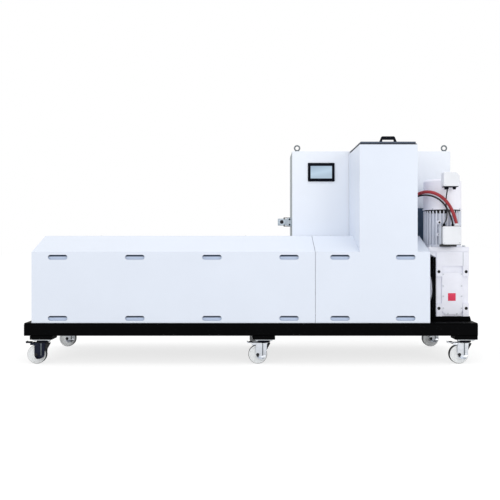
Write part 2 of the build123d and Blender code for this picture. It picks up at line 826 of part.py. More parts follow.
# Gearbox: a cast head and four corner feet round recessed columns, a bolted cover, a black pedestal
with BuildPart() as gearbox_pedestal:
    pedestal_outline = [
        (gearbox_left - pedestal_overhang, deck_top), (gearbox_right + pedestal_overhang, deck_top),
        (gearbox_right + pedestal_overhang - pedestal_taper, gearbox_bottom),
        (gearbox_left - pedestal_overhang + pedestal_taper, gearbox_bottom),
    ]
    extrude(outline_on(front_plane(gearbox_back), pedestal_outline), amount=gearbox_depth)
    bracket_low = (gearbox_front + bracket_setback, deck_top)
    bracket_high = (gearbox_back - bracket_setback, gearbox_top - neck_height)
    extrude(rectangle_on(side_plane(gearbox_left), bracket_low, bracket_high), amount=-bracket_thickness)
    extrude(disc_on(side_plane(gearbox_left), (axis_y, screw_z), boss_diameter / 2 + bracket_bore_clearance),
            amount=-bracket_thickness, mode=Mode.SUBTRACT)
save(gearbox_pedestal.part, "gearbox_pedestal")

core_front = gearbox_front + gearbox_recess
core_back = gearbox_back - gearbox_recess
gearbox_hole_xs = (gearbox_x - gearbox_hole_pitch_x / 2, gearbox_x + gearbox_hole_pitch_x / 2)
gearbox_hole_low = gearbox_bottom + gearbox_hole_rise
gearbox_hole_zs = (gearbox_hole_low, gearbox_hole_low + gearbox_hole_pitch_z)
with BuildPart() as gearbox_housing:
    extrude(rectangle_on(level(gearbox_bottom), (gearbox_left, core_front), (gearbox_right, core_back)),
            amount=gearbox_top - gearbox_bottom)
    for z, height in ((gearbox_bottom, gearbox_foot), (gearbox_top - gearbox_head, gearbox_head)):
        for left in (gearbox_left, gearbox_right - gearbox_column):
            extrude(rectangle_on(level(z), (left, gearbox_front), (left + gearbox_column, gearbox_back)),
                    amount=height)
    extrude(rectangle_on(level(gearbox_top - gearbox_head / 2 - gearbox_corner), (gearbox_left, gearbox_front),
                         (gearbox_right, gearbox_back)), amount=gearbox_head / 2 + gearbox_corner)
    fillet(gearbox_housing.edges().filter_by(Axis.Z).group_by(Axis.X)[0], gearbox_corner)
    fillet(gearbox_housing.edges().filter_by(Axis.Z).group_by(Axis.X)[-1], gearbox_corner)
    with BuildSketch(level(gearbox_top)):
        with Locations((motor_x, axis_y)):
            RectangleRounded(top_flange_size, top_flange_size, top_flange_corner)
    extrude(amount=top_flange_height)
    neck_reach = top_flange_size / 2 - neck_inset
    loft([
        rectangle_on(level(gearbox_top - neck_height), (gearbox_left, gearbox_front + gearbox_corner),
                     (gearbox_right - gearbox_corner, gearbox_back - gearbox_corner)),
        rectangle_on(level(gearbox_top), (motor_x - neck_reach, axis_y - neck_reach),
                     (motor_x + neck_reach, axis_y + neck_reach)),
    ])
    extrude(disc_on(side_plane(gearbox_left), (axis_y, screw_z), boss_diameter / 2), amount=-boss_length)
    with BuildSketch(front_plane(gearbox_front)) as bolt_holes:
        with Locations(*[(x, z) for x in gearbox_hole_xs for z in gearbox_hole_zs]):
            Circle(gearbox_hole / 2)
    extrude(bolt_holes.sketch, amount=-gearbox_hole_depth, mode=Mode.SUBTRACT)
save(gearbox_housing.part, "gearbox_housing")

with BuildPart() as gearbox_cover:
    cover_left = gearbox_left + cover_margin
    cover_right = gearbox_right - cover_margin
    cover_bottom = gearbox_bottom + cover_bottom_margin
    cover_outline = [
        (cover_left, cover_bottom + cover_chamfer), (cover_left + cover_chamfer, cover_bottom),
        (cover_right - cover_chamfer, cover_bottom), (cover_right, cover_bottom + cover_chamfer),
        (cover_right, cover_bottom + cover_height), (cover_left, cover_bottom + cover_height),
    ]
    extrude(outline_on(front_plane(core_front), cover_outline), amount=cover_thickness)
save(gearbox_cover.part, "gearbox_cover")

# Motor: a round flange, a finned casing with a saddle for the terminal box, and a blower cowl
motor_place = (motor_x, axis_y)
with BuildPart() as motor_body:
    extrude(disc_on(level(motor_bottom), motor_place, motor_flange_diameter / 2), amount=motor_flange_height)
    with BuildSketch(level(motor_bottom + motor_flange_height)):
        with Locations(motor_place):
            Circle(motor_diameter / 2 - fin_depth)
            with PolarLocations(motor_diameter / 2 - fin_depth, fin_count):
                Rectangle(2 * fin_depth, fin_thickness)
    extrude(amount=motor_height - motor_flange_height - end_shield_height)
    shield_radius = motor_diameter / 2 - fin_depth + end_shield_step
    extrude(disc_on(level(motor_top), motor_place, shield_radius), amount=-end_shield_height)
    cowl_seat_radius = cowl_diameter / 2 - cowl_lip - cowl_sheet - seat_gap
    extrude(disc_on(level(motor_top), motor_place, cowl_seat_radius), amount=cowl_seat_height)
    saddle_low = (motor_x - saddle_width / 2, motor_bottom + saddle_rise)
    saddle_high = (motor_x + saddle_width / 2, motor_bottom + saddle_rise + saddle_height)
    extrude(rectangle_on(front_plane(saddle_front), saddle_low, saddle_high), amount=-motor_diameter / 2)
save(motor_body.part, "motor_body")

with BuildPart() as motor_terminal_box:
    box_z = box_bottom + box_height / 2
    with BuildSketch(front_plane(saddle_front)):
        with Locations((motor_x, box_z)):
            RectangleRounded(box_width, box_height, box_corner)
    extrude(amount=box_depth - box_cover)
    with BuildSketch(front_plane(box_front + box_cover)):
        with Locations((motor_x, box_z)):
            RectangleRounded(box_width - 2 * box_cover_inset, box_height - 2 * box_cover_inset,
                             box_corner - box_cover_inset)
    extrude(amount=box_cover)
    fillet(motor_terminal_box.edges().group_by(Axis.Y)[0], box_cover_inset * 2)
save(motor_terminal_box.part, "motor_terminal_box")

with BuildPart() as fan_cowl:
    cowl_radius = cowl_diameter / 2
    skirt_radius = cowl_radius - cowl_lip
    with BuildSketch(Plane(origin=(motor_x, axis_y, motor_top), x_dir=(1, 0, 0), z_dir=(0, -1, 0))):
        with BuildLine():
            Polyline(
                (skirt_radius - cowl_sheet, 0), (cowl_radius, 0), (cowl_radius, cowl_lip_height),
                (skirt_radius, cowl_lip_height), (skirt_radius, cowl_height - cowl_shoulder),
                (skirt_radius - cowl_shoulder, cowl_height), (0, cowl_height), (0, cowl_height - cowl_sheet),
                (skirt_radius - cowl_shoulder - cowl_sheet / 2, cowl_height - cowl_sheet),
                (skirt_radius - cowl_sheet, cowl_height - cowl_shoulder - cowl_sheet / 2),
                close=True,
            )
        make_face()
    revolve(axis=Axis((motor_x, axis_y, 0), (0, 0, 1)))
    pad_high = cowl_top - cowl_shoulder
    extrude(rectangle_on(front_plane(blower_saddle_front),
                         (blower_box_x - blower_saddle_width / 2, pad_high - blower_saddle_height),
                         (blower_box_x + blower_saddle_width / 2, pad_high)), amount=-cowl_radius / 2)
    extrude(disc_on(level(motor_top), motor_place, skirt_radius - cowl_sheet),
            amount=cowl_height - cowl_shoulder - cowl_sheet / 2, mode=Mode.SUBTRACT)
    with BuildSketch(level(cowl_top)) as vents:
        with Locations(motor_place):
            with PolarLocations(vent_inner + vent_length / 2, vent_count):
                SlotOverall(vent_length, vent_width)
    extrude(vents.sketch, amount=-cowl_sheet, mode=Mode.SUBTRACT)
save(fan_cowl.part, "fan_cowl")

with BuildPart() as blower_box:
    left = blower_box_x - blower_box_width / 2
    right = blower_box_x + blower_box_width / 2
    box_outline = [
        (left, blower_box_bottom), (right, blower_box_bottom), (right, blower_box_top - blower_box_chamfer),
        (right - blower_box_chamfer, blower_box_top), (left, blower_box_top),
    ]
    extrude(outline_on(front_plane(blower_saddle_front), box_outline), amount=blower_box_depth)
    fillet(blower_box.edges().filter_by(Axis.Y), box_corner / 2)
save(blower_box.part, "blower_box")

# Barrel, screw and what carries them on the deck
die_centre = (axis_y, screw_z)
with BuildPart() as barrel:
    extrude(disc_on(side_plane(hood_left), die_centre, barrel_outer / 2), amount=feed_left - hood_left)
    extrude(disc_on(side_plane(hood_left), die_centre, die_flange_diameter / 2), amount=die_flange_thickness)
    extrude(disc_on(side_plane(hood_left), die_centre, barrel_bore / 2), amount=feed_left - hood_left,
            mode=Mode.SUBTRACT)
    with BuildSketch(side_plane(hood_left)) as die_bolts:
        with Locations(die_centre):
            with PolarLocations(die_bolt_circle / 2, die_bolt_count):
                Circle(die_bolt_hole / 2)
    extrude(die_bolts.sketch, amount=die_bolt_depth, mode=Mode.SUBTRACT)
save(barrel.part, "barrel")

with BuildPart() as screw:
    tip_end = hood_left + screw_tip_setback
    shank_start = tip_end + screw_tip_length
    extrude(disc_on(side_plane(shank_start), die_centre, screw_diameter / 2),
            amount=gearbox_left - boss_length - shank_start)
    loft([disc_on(side_plane(shank_start), die_centre, screw_diameter / 2),
          disc_on(side_plane(tip_end), die_centre, screw_diameter / 8)])
save(screw.part, "screw")

with BuildPart() as feed_block:
    block_half = feed_block_width / 2
    foot_low = (tower_x - feed_foot_length / 2, axis_y - feed_foot_width / 2)
    foot_high = (tower_x + feed_foot_length / 2, axis_y + feed_foot_width / 2)
    extrude(rectangle_on(level(deck_top), foot_low, foot_high), amount=feed_foot_plate)
    stem_low = (tower_x - feed_stem_width / 2, axis_y - feed_stem_width / 2)
    stem_high = (tower_x + feed_stem_width / 2, axis_y + feed_stem_width / 2)
    extrude(rectangle_on(level(deck_top), stem_low, stem_high), amount=feed_bottom - deck_top)
    extrude(rectangle_on(level(feed_bottom), (feed_left, axis_y - block_half), (feed_right, axis_y + block_half)),
            amount=feed_block_width)
    extrude(disc_on(side_plane(feed_left), die_centre, barrel_bore / 2), amount=feed_block_length,
            mode=Mode.SUBTRACT)
    extrude(rectangle_on(level(screw_z), throat_low, throat_high), amount=block_half, mode=Mode.SUBTRACT)
save(feed_block.part, "feed_block")

with BuildPart() as barrel_supports:
    for share in support_shares:
        x = hood_left + share * (feed_left - hood_left)
        with BuildSketch(side_plane(x)) as stand:
            with Locations((axis_y, screw_z)):
                Circle(support_width / 2)
            with Locations((axis_y, deck_top + support_foot / 2)):
                Rectangle(support_width, support_foot)
            make_hull()
            with Locations((axis_y, screw_z)):
                Circle(barrel_outer / 2 + seat_gap, mode=Mode.SUBTRACT)
        extrude(stand.sketch, amount=support_thickness)
save(barrel_supports.part, "barrel_supports")

# Cables between the cabinet, the motor's terminal box and the blower's box
gland_radius_share = gland_ratio_share / 2


def bend_radii(route):
    """The largest even bend at each inner point of a route."""
    radii = []
    for before, point, after in zip(route, route[1:], route[2:]):
        arriving = Vector(*point) - Vector(*before)
        leaving = Vector(*after) - Vector(*point)
        shorter = min(arriving.length, leaving.length)
        radii.append(bend_share * shorter / tan(radians(arriving.get_angle(leaving) / 2)))
    return radii


def cable(name, route, diameter):
    """A round cable along straight runs joined by tangent arcs."""
    radii = bend_radii(route)
    with BuildPart() as tube:
        with BuildLine() as path:
            FilletPolyline(*route, radius=radii)
        line = path.wire()
        with BuildSketch(Plane(origin=line @ 0, z_dir=line % 0)):
            Circle(diameter / 2)
        sweep(path=line)
    print(name, "length", round(line.length), "radii", [round(radius) for radius in radii])
    return tube.part


def placed(route):
    """A route's points in the machine's own frame."""
    return [(motor_x + x, hood_front + y, z) for x, y, z in route]


conduit_line = placed(conduit_route)
motor_cable_line = placed(motor_cable_route)
blower_cable_line = placed(blower_cable_route)
save(cable("motor_conduit", conduit_line, conduit_diameter), "motor_conduit")
save(cable("motor_cable", motor_cable_line, motor_cable_diameter), "motor_cable")
save(cable("blower_cable", blower_cable_line, blower_cable_diameter), "blower_cable")

with BuildPart() as cable_glands:
    for route, diameter in ((conduit_line, conduit_diameter), (motor_cable_line, motor_cable_diameter)):
        x, y, z = route[0]
        extrude(disc_on(front_plane(cabinet_front), (x, z), diameter * gland_radius_share),
                amount=cabinet_front - y)
        x, y, z = route[-1]
        extrude(disc_on(level(box_top), (x, y), diameter * gland_radius_share), amount=z - box_top)
    x, y, z = blower_cable_line[-1]
    extrude(disc_on(level(box_top), (x, y), blower_cable_diameter * gland_ratio_share), amount=z - box_top)
    x, y, z = blower_cable_line[0]
    extrude(disc_on(level(z), (x, y), blower_cable_diameter * gland_ratio_share), amount=blower_box_bottom - z)
save(cable_glands.part, "cable_glands")
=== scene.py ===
import logging
import math
from dataclasses import dataclass, replace
from enum import Enum
from typing import Optional, Sequence, Union

import bpy
from mathutils import Matrix, Vector


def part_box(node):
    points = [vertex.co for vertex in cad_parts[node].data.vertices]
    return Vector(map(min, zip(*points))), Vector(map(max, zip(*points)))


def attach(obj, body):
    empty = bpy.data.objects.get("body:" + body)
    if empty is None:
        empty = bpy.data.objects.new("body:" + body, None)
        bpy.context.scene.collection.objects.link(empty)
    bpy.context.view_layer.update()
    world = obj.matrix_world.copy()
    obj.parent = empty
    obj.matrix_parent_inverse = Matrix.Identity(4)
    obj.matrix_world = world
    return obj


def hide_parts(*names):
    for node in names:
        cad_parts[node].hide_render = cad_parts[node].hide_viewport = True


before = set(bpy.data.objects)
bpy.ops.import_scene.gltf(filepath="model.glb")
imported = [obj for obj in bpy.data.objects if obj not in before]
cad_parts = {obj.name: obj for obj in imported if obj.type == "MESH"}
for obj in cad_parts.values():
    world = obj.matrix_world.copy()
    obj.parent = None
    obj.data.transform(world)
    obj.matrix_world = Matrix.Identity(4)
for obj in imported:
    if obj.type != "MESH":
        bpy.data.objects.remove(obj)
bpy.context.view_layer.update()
MM = 0.001
LOG = logging.getLogger("extruder")
Colour = tuple[float, float, float]
Place = tuple[float, float, float]
Spot = tuple[Place, Place]
Profile = Sequence[tuple[float, float]]
ORIGIN: Place = (0.0, 0.0, 0.0)
UP: Place = (0.0, 0.0, 1.0)
FRONT: Place = (0.0, -1.0, 0.0)
BACK: Place = (0.0, 1.0, 0.0)
LEFT: Place = (-1.0, 0.0, 0.0)
RIGHT: Place = (1.0, 0.0, 0.0)
DOWN: Place = (0.0, 0.0, -1.0)
MOTOR_AXIS: tuple[float, float] = (1337.0, -145.0)
GEARBOX_FRONT = -285.0
FLOOR_DUST: Colour = (0.36, 0.35, 0.33)
COAT_ROUGHNESS = 0.2
FINE_STEPS = 3
ROUGHNESS_SPREAD = 0.18


class Grain(Enum):
    """The fine relief that a finish carries."""

    PEEL = "powder_peel"
    BRUSHED = "brush_lines"
    CAST = "cast_grain"


class Groups:
    """Shader nodes, and the node groups that several finishes share, each built once."""

    COLOUR = "NodeSocketColor"
    NUMBER = "NodeSocketFloat"
    VECTOR = "NodeSocketVector"

    @staticmethod
    def fill(node: bpy.types.Node, values: dict[Union[str, int], object]) -> None:
        """Set input values of a node.

        Args:
            node: the node.
            values: the value of each socket, by its name or number.
        """
        for socket, value in values.items():
            node.inputs[socket].default_value = value

    @classmethod
    def node(cls, tree: bpy.types.NodeTree, kind: str, values: Optional[dict] = None,
             **settings: object) -> bpy.types.Node:
        """Add a node to a tree.

        Args:
            tree: the tree.
            kind: the node's type, without its prefix.
            values: input values by socket.
            settings: the node's own properties.

        Returns:
            The new node.
        """
        node = tree.nodes.new("ShaderNode" + kind)
        for name, value in settings.items():
            setattr(node, name, value)
        cls.fill(node, values or {})
        return node

    @staticmethod
    def start(name: str, inputs: dict[str, str], outputs: dict[str, str]) -> tuple:
        """Make an empty group with named sockets.

        Args:
            name: the group's name.
            inputs: socket types by socket name.
            outputs: socket types by socket name.

        Returns:
            The group, its input node and its output node.
        """
        tree = bpy.data.node_groups.new(name, "ShaderNodeTree")
        for way, sockets in (("INPUT", inputs), ("OUTPUT", outputs)):
            for label, kind in sockets.items():
                tree.interface.new_socket(label, in_out=way, socket_type=kind)
        return tree, tree.nodes.new("NodeGroupInput"), tree.nodes.new("NodeGroupOutput")

    @classmethod
    def drift(cls) -> bpy.types.NodeTree:
        """Slow cloudy change of tone over a surface."""
        found = bpy.data.node_groups.get("tone_drift")
        if found:
            return found
        inputs = {"Color": cls.COLOUR, "Scale": cls.NUMBER, "Amount": cls.NUMBER}
        outputs = {"Color": cls.COLOUR, "Cloud": cls.NUMBER}
        tree, given, result = cls.start("tone_drift", inputs, outputs)
        place = cls.node(tree, "TexCoord")
        cloud = cls.node(tree, "TexNoise", {"Detail": 5.0})
        level = cls.node(tree, "MapRange", {"From Min": 0.3, "From Max": 0.7, "To Min": -1.0})
        gain = cls.node(tree, "Math", {2: 1.0}, operation="MULTIPLY_ADD")
        tint = cls.node(tree, "VectorMath", operation="SCALE")
        link = tree.links.new
        link(place.outputs["Object"], cloud.inputs["Vector"])
        link(given.outputs["Scale"], cloud.inputs["Scale"])
        link(cloud.outputs["Fac"], level.inputs["Value"])
        link(level.outputs["Result"], gain.inputs[0])
        link(given.outputs["Amount"], gain.inputs[1])
        link(given.outputs["Color"], tint.inputs[0])
        link(gain.outputs[0], tint.inputs["Scale"])
        link(tint.outputs[0], result.inputs["Color"])
        link(cloud.outputs["Fac"], result.inputs["Cloud"])
        return tree

    @classmethod
    def relief(cls, grain: Grain) -> bpy.types.NodeTree:
        """Fine height of a finish.

        Args:
            grain: which relief to make.

        Returns:
            A group with a Scale input and a Height output.
        """
        found = bpy.data.node_groups.get(grain.value)
        if found:
            return found
        tree, given, result = cls.start(grain.value, {"Scale": cls.NUMBER}, {"Height": cls.NUMBER})
        link = tree.links.new
        place = cls.node(tree, "TexCoord").outputs["Object"]
        if grain is Grain.BRUSHED:
            stretch = cls.node(tree, "Mapping", {"Scale": (0.04, 1.0, 1.0)})
            link(place, stretch.inputs["Vector"])
            place = stretch.outputs["Vector"]
        noise = cls.node(tree, "TexNoise", {"Detail": 2.0 if grain is Grain.PEEL else 6.0})
        link(place, noise.inputs["Vector"])
        link(given.outputs["Scale"], noise.inputs["Scale"])
        link(noise.outputs["Fac"], result.inputs["Height"])
        return tree

    @classmethod
    def dust(cls) -> bpy.types.NodeTree:
        """Pale floor dust that fades with height."""
        found = bpy.data.node_groups.get("floor_dust")
        if found:
            return found
        inputs = {"Color": cls.COLOUR, "Dust": cls.COLOUR, "Height": cls.NUMBER, "Amount": cls.NUMBER}
        tree, given, result = cls.start("floor_dust", inputs, {"Color": cls.COLOUR})
        place = cls.node(tree, "TexCoord")
        split = cls.node(tree, "SeparateXYZ")
        fade = cls.node(tree, "MapRange", {"To Min": 1.0, "To Max": 0.0})
        specks = cls.node(tree, "TexNoise", {"Scale": 55.0, "Detail": 6.0})
        share = cls.node(tree, "Math", operation="MULTIPLY")
        total = cls.node(tree, "Math", operation="MULTIPLY")
        mix = cls.node(tree, "Mix", data_type="RGBA")
        link = tree.links.new
        link(place.outputs["Object"], split.inputs[0])
        link(place.outputs["Object"], specks.inputs["Vector"])
        link(split.outputs["Z"], fade.inputs["Value"])
        link(given.outputs["Height"], fade.inputs["From Max"])
        link(fade.outputs["Result"], share.inputs[0])
        link(specks.outputs["Fac"], share.inputs[1])
        link(share.outputs[0], total.inputs[0])
        link(given.outputs["Amount"], total.inputs[1])
        link(total.outputs[0], mix.inputs["Factor"])
        link(given.outputs["Color"], mix.inputs["A"])
        link(given.outputs["Dust"], mix.inputs["B"])
        link(mix.outputs["Result"], result.inputs["Color"])
        return tree

    @classmethod
    def recess(cls) -> bpy.types.NodeTree:
        """Painted shade: a dark colour near an upright axis that fades away from it, standing in for the
        shade in the recesses round the axis.
        """
        found = bpy.data.node_groups.get("recess_painted_shade")
        if found:
            return found
        inputs = {"Color": cls.COLOUR, "Painted Shade": cls.COLOUR, "Axis": cls.VECTOR, "Inner": cls.NUMBER,
                  "Outer": cls.NUMBER, "Amount": cls.NUMBER}
        tree, given, result = cls.start("recess_painted_shade", inputs, {"Color": cls.COLOUR})
        place = cls.node(tree, "TexCoord")
        offset = cls.node(tree, "VectorMath", operation="SUBTRACT")
        flat = cls.node(tree, "VectorMath", {1: (1.0, 1.0, 0.0)}, operation="MULTIPLY")
        reach = cls.node(tree, "VectorMath", operation="LENGTH")
        fade = cls.node(tree, "MapRange", {"To Max": 0.0})
        mix = cls.node(tree, "Mix", data_type="RGBA")
        link = tree.links.new
        link(place.outputs["Object"], offset.inputs[0])
        link(given.outputs["Axis"], offset.inputs[1])
        link(offset.outputs[0], flat.inputs[0])
        link(flat.outputs[0], reach.inputs[0])
        link(reach.outputs["Value"], fade.inputs["Value"])
        link(given.outputs["Inner"], fade.inputs["From Min"])
        link(given.outputs["Outer"], fade.inputs["From Max"])
        link(given.outputs["Amount"], fade.inputs["To Min"])
        link(fade.outputs["Result"], mix.inputs["Factor"])
        link(given.outputs["Color"], mix.inputs["A"])
        link(given.outputs["Painted Shade"], mix.inputs["B"])
        link(mix.outputs["Result"], result.inputs["Color"])
        return tree


@dataclass(frozen=True)
class Recess:
    """Where painted shade darkens a colour round an upright axis.

    Args:
        axis: a point on the axis in metres.
        inner: distance from the axis up to which the painted shade is full.
        outer: distance at which it ends.
        amount: share of painted shade.
        painted_shade: its linear colour.
    """

    axis: Place
    inner: float
    outer: float
    amount: float
    painted_shade: Colour


@dataclass(frozen=True)
class Finish:
    """One surface finish, made as a procedural material.

    Args:
        name: plain name of the finish.
        slot: the record's material slot that it stands for; not used.
        colour: linear base colour.
        roughness: middle roughness.
        metallic: 1 for bare metal.
        specular: strength of the plain gloss.
        coat: clear coat weight.
        drift: share by which the tone wanders.
        drift_scale: how many clouds to a metre.
        grain: kind of fine relief.
        grain_scale: how fine the relief is.
        grain_depth: height of the relief in metres.
        dust: share of floor dust, 0 for none.
        dust_height: height in metres where the dust ends.
        recess: painted shade round an axis, if the finish has any.
    """

    name: str
    slot: str
    colour: Colour
    roughness: float
    metallic: float = 0.0
    specular: float = 0.4
    coat: float = 0.0
    drift: float = 0.03
    drift_scale: float = 3.0
    grain: Grain = Grain.PEEL
    grain_scale: float = 900.0
    grain_depth: float = 0.00004
    dust: float = 0.0
    dust_height: float = 0.3
    recess: Optional[Recess] = None

    def material(self) -> bpy.types.Material:
        """Build the material on first use.

        Returns:
            The Blender material.
        """
        found = bpy.data.materials.get(self.name)
        if found:
            return found
        material = bpy.data.materials.new(self.name)
        material.use_nodes = True
        tree = material.node_tree
        shader = tree.nodes["Principled BSDF"]
        Groups.fill(shader, {"Metallic": self.metallic, "Specular IOR Level": self.specular,
                             "Coat Weight": self.coat, "Coat Roughness": COAT_ROUGHNESS})
        drift = Groups.node(tree, "Group", {"Color": (*self.colour, 1.0), "Scale": self.drift_scale,
                                            "Amount": self.drift}, node_tree=Groups.drift())
        colour = drift.outputs["Color"]
        if self.dust > 0.0:
            dust = Groups.node(tree, "Group", {"Dust": (*FLOOR_DUST, 1.0), "Height": self.dust_height,
                                               "Amount": self.dust}, node_tree=Groups.dust())
            tree.links.new(colour, dust.inputs["Color"])
            colour = dust.outputs["Color"]
        # Painted shade: the colour darkens towards an upright axis, for the shade in the recesses round it.
        if self.recess:
            painted_shade = Groups.node(tree, "Group", {
                "Painted Shade": (*self.recess.painted_shade, 1.0), "Axis": self.recess.axis, "Inner": self.recess.inner,
                "Outer": self.recess.outer, "Amount": self.recess.amount}, node_tree=Groups.recess())
            tree.links.new(colour, painted_shade.inputs["Color"])
            colour = painted_shade.outputs["Color"]
        tree.links.new(colour, shader.inputs["Base Color"])
        rough = Groups.node(tree, "MapRange", {
            "To Min": self.roughness * (1.0 - ROUGHNESS_SPREAD),
            "To Max": min(1.0, self.roughness * (1.0 + ROUGHNESS_SPREAD))})
        tree.links.new(drift.outputs["Cloud"], rough.inputs["Value"])
        tree.links.new(rough.outputs["Result"], shader.inputs["Roughness"])
        relief = Groups.node(tree, "Group", {"Scale": self.grain_scale}, node_tree=Groups.relief(self.grain))
        bump = Groups.node(tree, "Bump", {"Strength": 1.0, "Distance": self.grain_depth})
        tree.links.new(relief.outputs["Height"], bump.inputs["Height"])
        tree.links.new(bump.outputs["Normal"], shader.inputs["Normal"])
        return material


WHITE_SHEET = Finish("white_powder_coat", "white_sheet", (0.76, 0.815, 0.915), 0.42, coat=0.15, drift=0.012)
# Painted light: the cabinet's white is a lighter copy of the sheet white, making up for the tower's shade on
# the cabinet.
CABINET_LIT_WHITE = replace(WHITE_SHEET, name="cabinet_painted_light_coat", colour=(0.85, 0.89, 0.96))
# Painted shade: the vent liner is coloured near-black to stand in for the shade behind the slots.
LINER_SHADE = Finish("liner_painted_shade", "liner_grey", (0.09, 0.125, 0.20), 0.6, drift=0.05)
LIP_GREY = Finish("slot_lip_paint", "liner_grey", (0.50, 0.59, 0.76), 0.5)
SIDE_GREY = replace(LIP_GREY, name="cabinet_side_paint", colour=(0.33, 0.37, 0.39))
BLACK_FRAME = Finish("frame_black_paint", "black_frame", (0.0012, 0.0012, 0.0015), 0.5, specular=0.03,
                     drift=0.2)
SLATE_LID = Finish("slate_lid_paint", "slate_lid", (0.085, 0.105, 0.145), 0.42, specular=0.1, drift=0.05)
# Painted shade: a dark slate for the duct that stands in for the shade between the tower and the motor.
DUCT_PAINTED_SHADE = replace(SLATE_LID, name="duct_painted_shade", colour=(0.065, 0.10, 0.155), roughness=0.5)
BLACK_PLASTIC = Finish("black_moulding", "black_plastic", (0.003, 0.004, 0.008), 0.45, specular=0.06,
                       drift=0.1, grain=Grain.CAST, grain_scale=1600.0, grain_depth=0.00005)
# Near-black for sunk bolts, the socket insert and the axle heads, and painted shade for the ring under the
# cowl's lip, the disc inside the cowl and the fork's gusset and race.
DARK_PARTS_AND_SHADE = Finish("black_parts_and_painted_shade", "black_plastic", (0.012, 0.012, 0.014), 0.7, drift=0.2)
GASKET_RUBBER = Finish("gasket_rubber", "gasket_rubber", (0.006, 0.006, 0.007), 0.75, specular=0.08,
                       drift=0.15)
ZINC_STEEL = Finish("zinc_plate", "zinc_steel", (0.62, 0.65, 0.68), 0.34, metallic=1.0, drift=0.1,
                    drift_scale=40.0, grain=Grain.CAST, grain_scale=700.0)
FORK_ZINC = replace(ZINC_STEEL, name="bright_zinc_fork", colour=(0.78, 0.81, 0.86), roughness=0.3,
                    drift=0.08)
# Painted shade: a darkened copy of the zinc for the front left castor, whose fork stands in shade.
FORK_PAINTED_SHADE = replace(ZINC_STEEL, name="fork_zinc_painted_shade", colour=(0.008, 0.011, 0.026), roughness=0.3,
                    metallic=0.35, specular=0.2, drift=0.15)
# Dark forged steel for the lifting eyes; on the castor forks the same colour is painted shade in the grooves
# between the fields.
EYE_STEEL_AND_GROOVE_SHADE = replace(ZINC_STEEL, name="forged_steel_and_groove_shade", colour=(0.17, 0.19, 0.205), roughness=0.4,
                    drift_scale=60.0, grain_scale=900.0)
BARE_STEEL = Finish("turned_steel", "bare_steel", (0.50, 0.51, 0.53), 0.3, metallic=1.0, drift=0.08,
                    drift_scale=25.0, grain=Grain.BRUSHED, grain_scale=1400.0)
HOPPER_STEEL = Finish("brushed_stainless", "hopper_steel", (0.62, 0.63, 0.65), 0.32, metallic=1.0,
                      drift=0.06, grain=Grain.BRUSHED, grain_scale=1200.0)
WHEEL_WHITE = Finish("white_polyamide", "wheel_white", (0.90, 0.92, 0.93), 0.5, drift=0.05, drift_scale=20.0,
                     dust=0.25, dust_height=0.10)
# Painted shade: the white wheel's tread is coloured near-black for its shade, with real floor dust near the
# floor.
TREAD_SHADE_AND_DUST = Finish("tread_painted_shade_and_dust", "wheel_white", (0.018, 0.020, 0.024), 0.65, drift=0.2, drift_scale=30.0,
                    grain=Grain.CAST, grain_depth=0.0001, dust=0.1, dust_height=0.08)
DRIVE_CAST = Finish("drive_casting_paint", "drive_casting", (0.84, 0.85, 0.93), 0.45, drift=0.05,
                    drift_scale=9.0, grain=Grain.CAST, grain_scale=420.0, grain_depth=0.00022)
# Painted shade: the finned motor's paint darkens towards the motor axis, standing in for the shade between
# the fins.
FIN_PAINTED_SHADE = Recess((MOTOR_AXIS[0] * MM, MOTOR_AXIS[1] * MM, 0.0), 0.111, 0.126, 0.26, (0.10, 0.14, 0.22))
FINNED_CAST = replace(DRIVE_CAST, name="finned_motor_paint", colour=(0.86, 0.89, 0.97), recess=FIN_PAINTED_SHADE)
# Painted light: the cowl is a lighter copy of the drive casting's paint, making up for the tower's shade on
# the motor.
COWL_LIT_PAINT = Finish("cowl_painted_light_paint", "drive_casting", (0.91, 0.91, 0.99), 0.4, drift_scale=6.0)
BOX_PAINT = Finish("terminal_box_paint", "drive_casting", (0.80, 0.82, 0.86), 0.42, drift_scale=12.0)
CONNECTOR_GREY = Finish("connector_powder_coat", "connector_grey", (0.50, 0.56, 0.61), 0.45, drift=0.06,
                        drift_scale=30.0, grain=Grain.CAST)
CONDUIT_RED = Finish("red_conduit", "conduit_red", (0.37, 0.034, 0.043), 0.5, drift=0.1, drift_scale=30.0)
MARKER_RED = Finish("plain_red_plate", "conduit_red", (0.70, 0.03, 0.09), 0.4, drift=0.04, drift_scale=30.0)
CABLE_BLACK = Finish("black_sheath", "cable_black", (0.010, 0.010, 0.012), 0.55, drift=0.15,
                     drift_scale=40.0)


